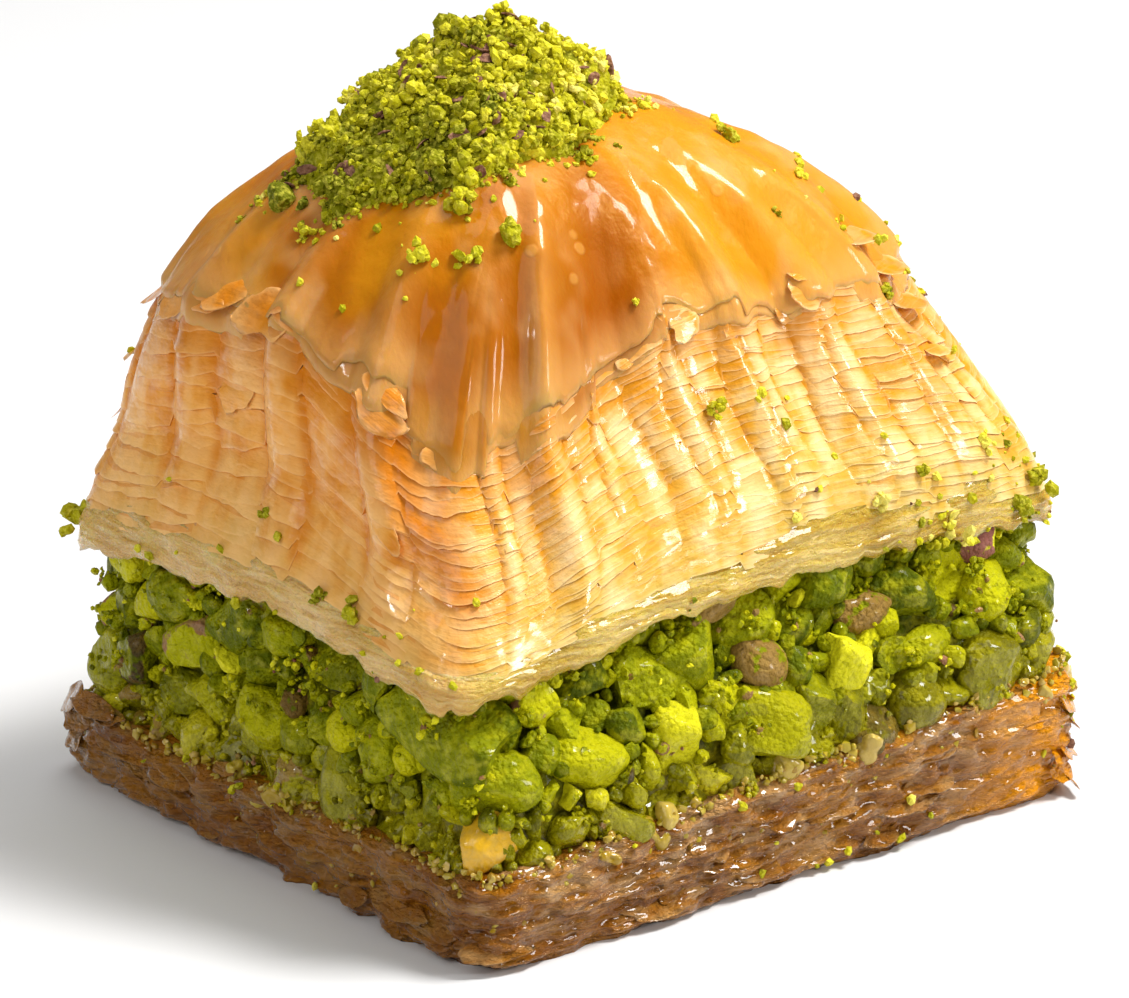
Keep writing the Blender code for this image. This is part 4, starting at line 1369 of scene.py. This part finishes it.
def makeLoose():
    rng = np.random.default_rng(55)
    trees = [surfaceOf(piece) for piece in (basePiece, *lidPieces)]
    for x, y, z, radius in looseCrumbs:
        place = Vector((x * mm, y * mm, z * mm))
        hits = [tree.find_nearest(place) for tree in trees]
        spot, normal = min(hits, key=lambda hit: hit[3])[:2]
        tone = np.clip(rng.normal(0.6, 0.2), 0, 1)
        for points, faces in clump(rng, radius * mm):
            grainsOnTop.add(points + np.array(spot + normal * radius * 0.3 * mm), faces, tone=tone, husk=0.0)
    for x, y, z, radius, tone in looseBits:
        hit = trees[-2].find_nearest(Vector((x, y, z)) * mm)[0]
        points, faces = grain(rng, radius * mm, 3, 0.35)
        grainsOnTop.add(points + np.array(hit) + (0, 0, 0.3 * radius * mm), faces, tone=tone, husk=0.0)
    for x, y, z, spread, count in crumbPatches:
        for middle in rng.normal((x, y, z), spread, (count, 3)) * mm:
            spot = min((tree.find_nearest(Vector(middle)) for tree in trees), key=lambda hit: hit[3])[0]
            points, faces = grain(rng, rng.uniform(0.08, 0.34) * mm, 1, 0.5)
            spot.z = max(spot.z, 0.5 * mm)
            grainsOnTop.add(points + np.array(spot), faces, tone=np.clip(rng.normal(0.65, 0.2), 0, 1),
                            husk=float(rng.uniform() < 0.1))
    grainsOnTop.piece("heapGrains", crumbs, "ground_nuts", "nut_heap", 20)


makeLoose()
print("heap made")


studio = {
    "floorSize": 3.0,
    "world": 0.15,
    "key": (2.3, 58, 60, 0.42, 0.13),  # power in watts, azimuth, elevation, distance and size in metres
    "top": (1.0, 150, 74, 0.5, 0.35),
    "fill": (1.05, -78, 38, 0.6, 0.4),
    "spark": (0.75, 28, 22, 0.45, 0.1),
    "glint": (0.1, -100, 34, 0.45, 0.03),
}


def addFloor():
    mesh = bpy.data.meshes.new("floor")
    half = studio["floorSize"] / 2
    mesh.from_pydata([(-half, -half, 0), (half, -half, 0), (half, half, 0), (-half, half, 0)], [], [(0, 1, 2, 3)])
    finish = Finish("paleFloor", Roughness=0.7)
    finish.feed(Base_Color=finish.mix(finish.noise(40 * mm, 2.0) * 0.1, (0.72, 0.715, 0.71), (0.69, 0.69, 0.685)))
    mesh.materials.append(finish.material)
    floor = bpy.data.objects.new("floor", mesh)
    bpy.context.scene.collection.objects.link(floor)


def facing(azimuth, elevation):
    across, up = math.radians(azimuth), math.radians(elevation)
    return Vector((math.sin(across) * math.cos(up), -math.cos(across) * math.cos(up), math.sin(up)))


def addLight(name, power, azimuth, elevation, distance, size, target):
    lamp = bpy.data.lights.new(name, "AREA")
    lamp.energy = power
    lamp.size = size
    light = bpy.data.objects.new(name, lamp)
    back = facing(azimuth, elevation)
    light.location = target + back * distance
    light.rotation_mode = "QUATERNION"
    light.rotation_quaternion = (-back).to_track_quat("-Z", "Y")
    bpy.context.scene.collection.objects.link(light)


viewpoint = {
    "azimuth": -39.0154,
    "elevation": 19.6375,
    "distance": 0.365,
    "lens": 212.703,
    "target": (-5.789 * mm, -6.833 * mm, 20.075 * mm),
}


def addCamera():
    camera = bpy.data.cameras.new("camera")
    camera.lens = viewpoint["lens"]
    camera.sensor_width = 36
    camera.clip_start = 0.01
    camera.clip_end = 20
    holder = bpy.data.objects.new("camera", camera)
    back = facing(viewpoint["azimuth"], viewpoint["elevation"])
    holder.location = Vector(viewpoint["target"]) + back * viewpoint["distance"]
    holder.rotation_euler = (math.radians(90 - viewpoint["elevation"]), 0, math.radians(viewpoint["azimuth"]))
    bpy.context.scene.collection.objects.link(holder)
    bpy.context.scene.camera = holder


addFloor()
for name in ("key", "top", "fill", "spark", "glint"):
    addLight(name, *studio[name], Vector((0, 0, 20 * mm)))
world = bpy.data.worlds.new("studio")
world.use_nodes = True
world.node_tree.nodes["Background"].inputs["Color"].default_value = (1, 1, 1, 1)
world.node_tree.nodes["Background"].inputs["Strength"].default_value = studio["world"]
bpy.context.scene.world = world
bpy.context.scene.view_settings.view_transform = "Standard"
addCamera()
print("studio made")
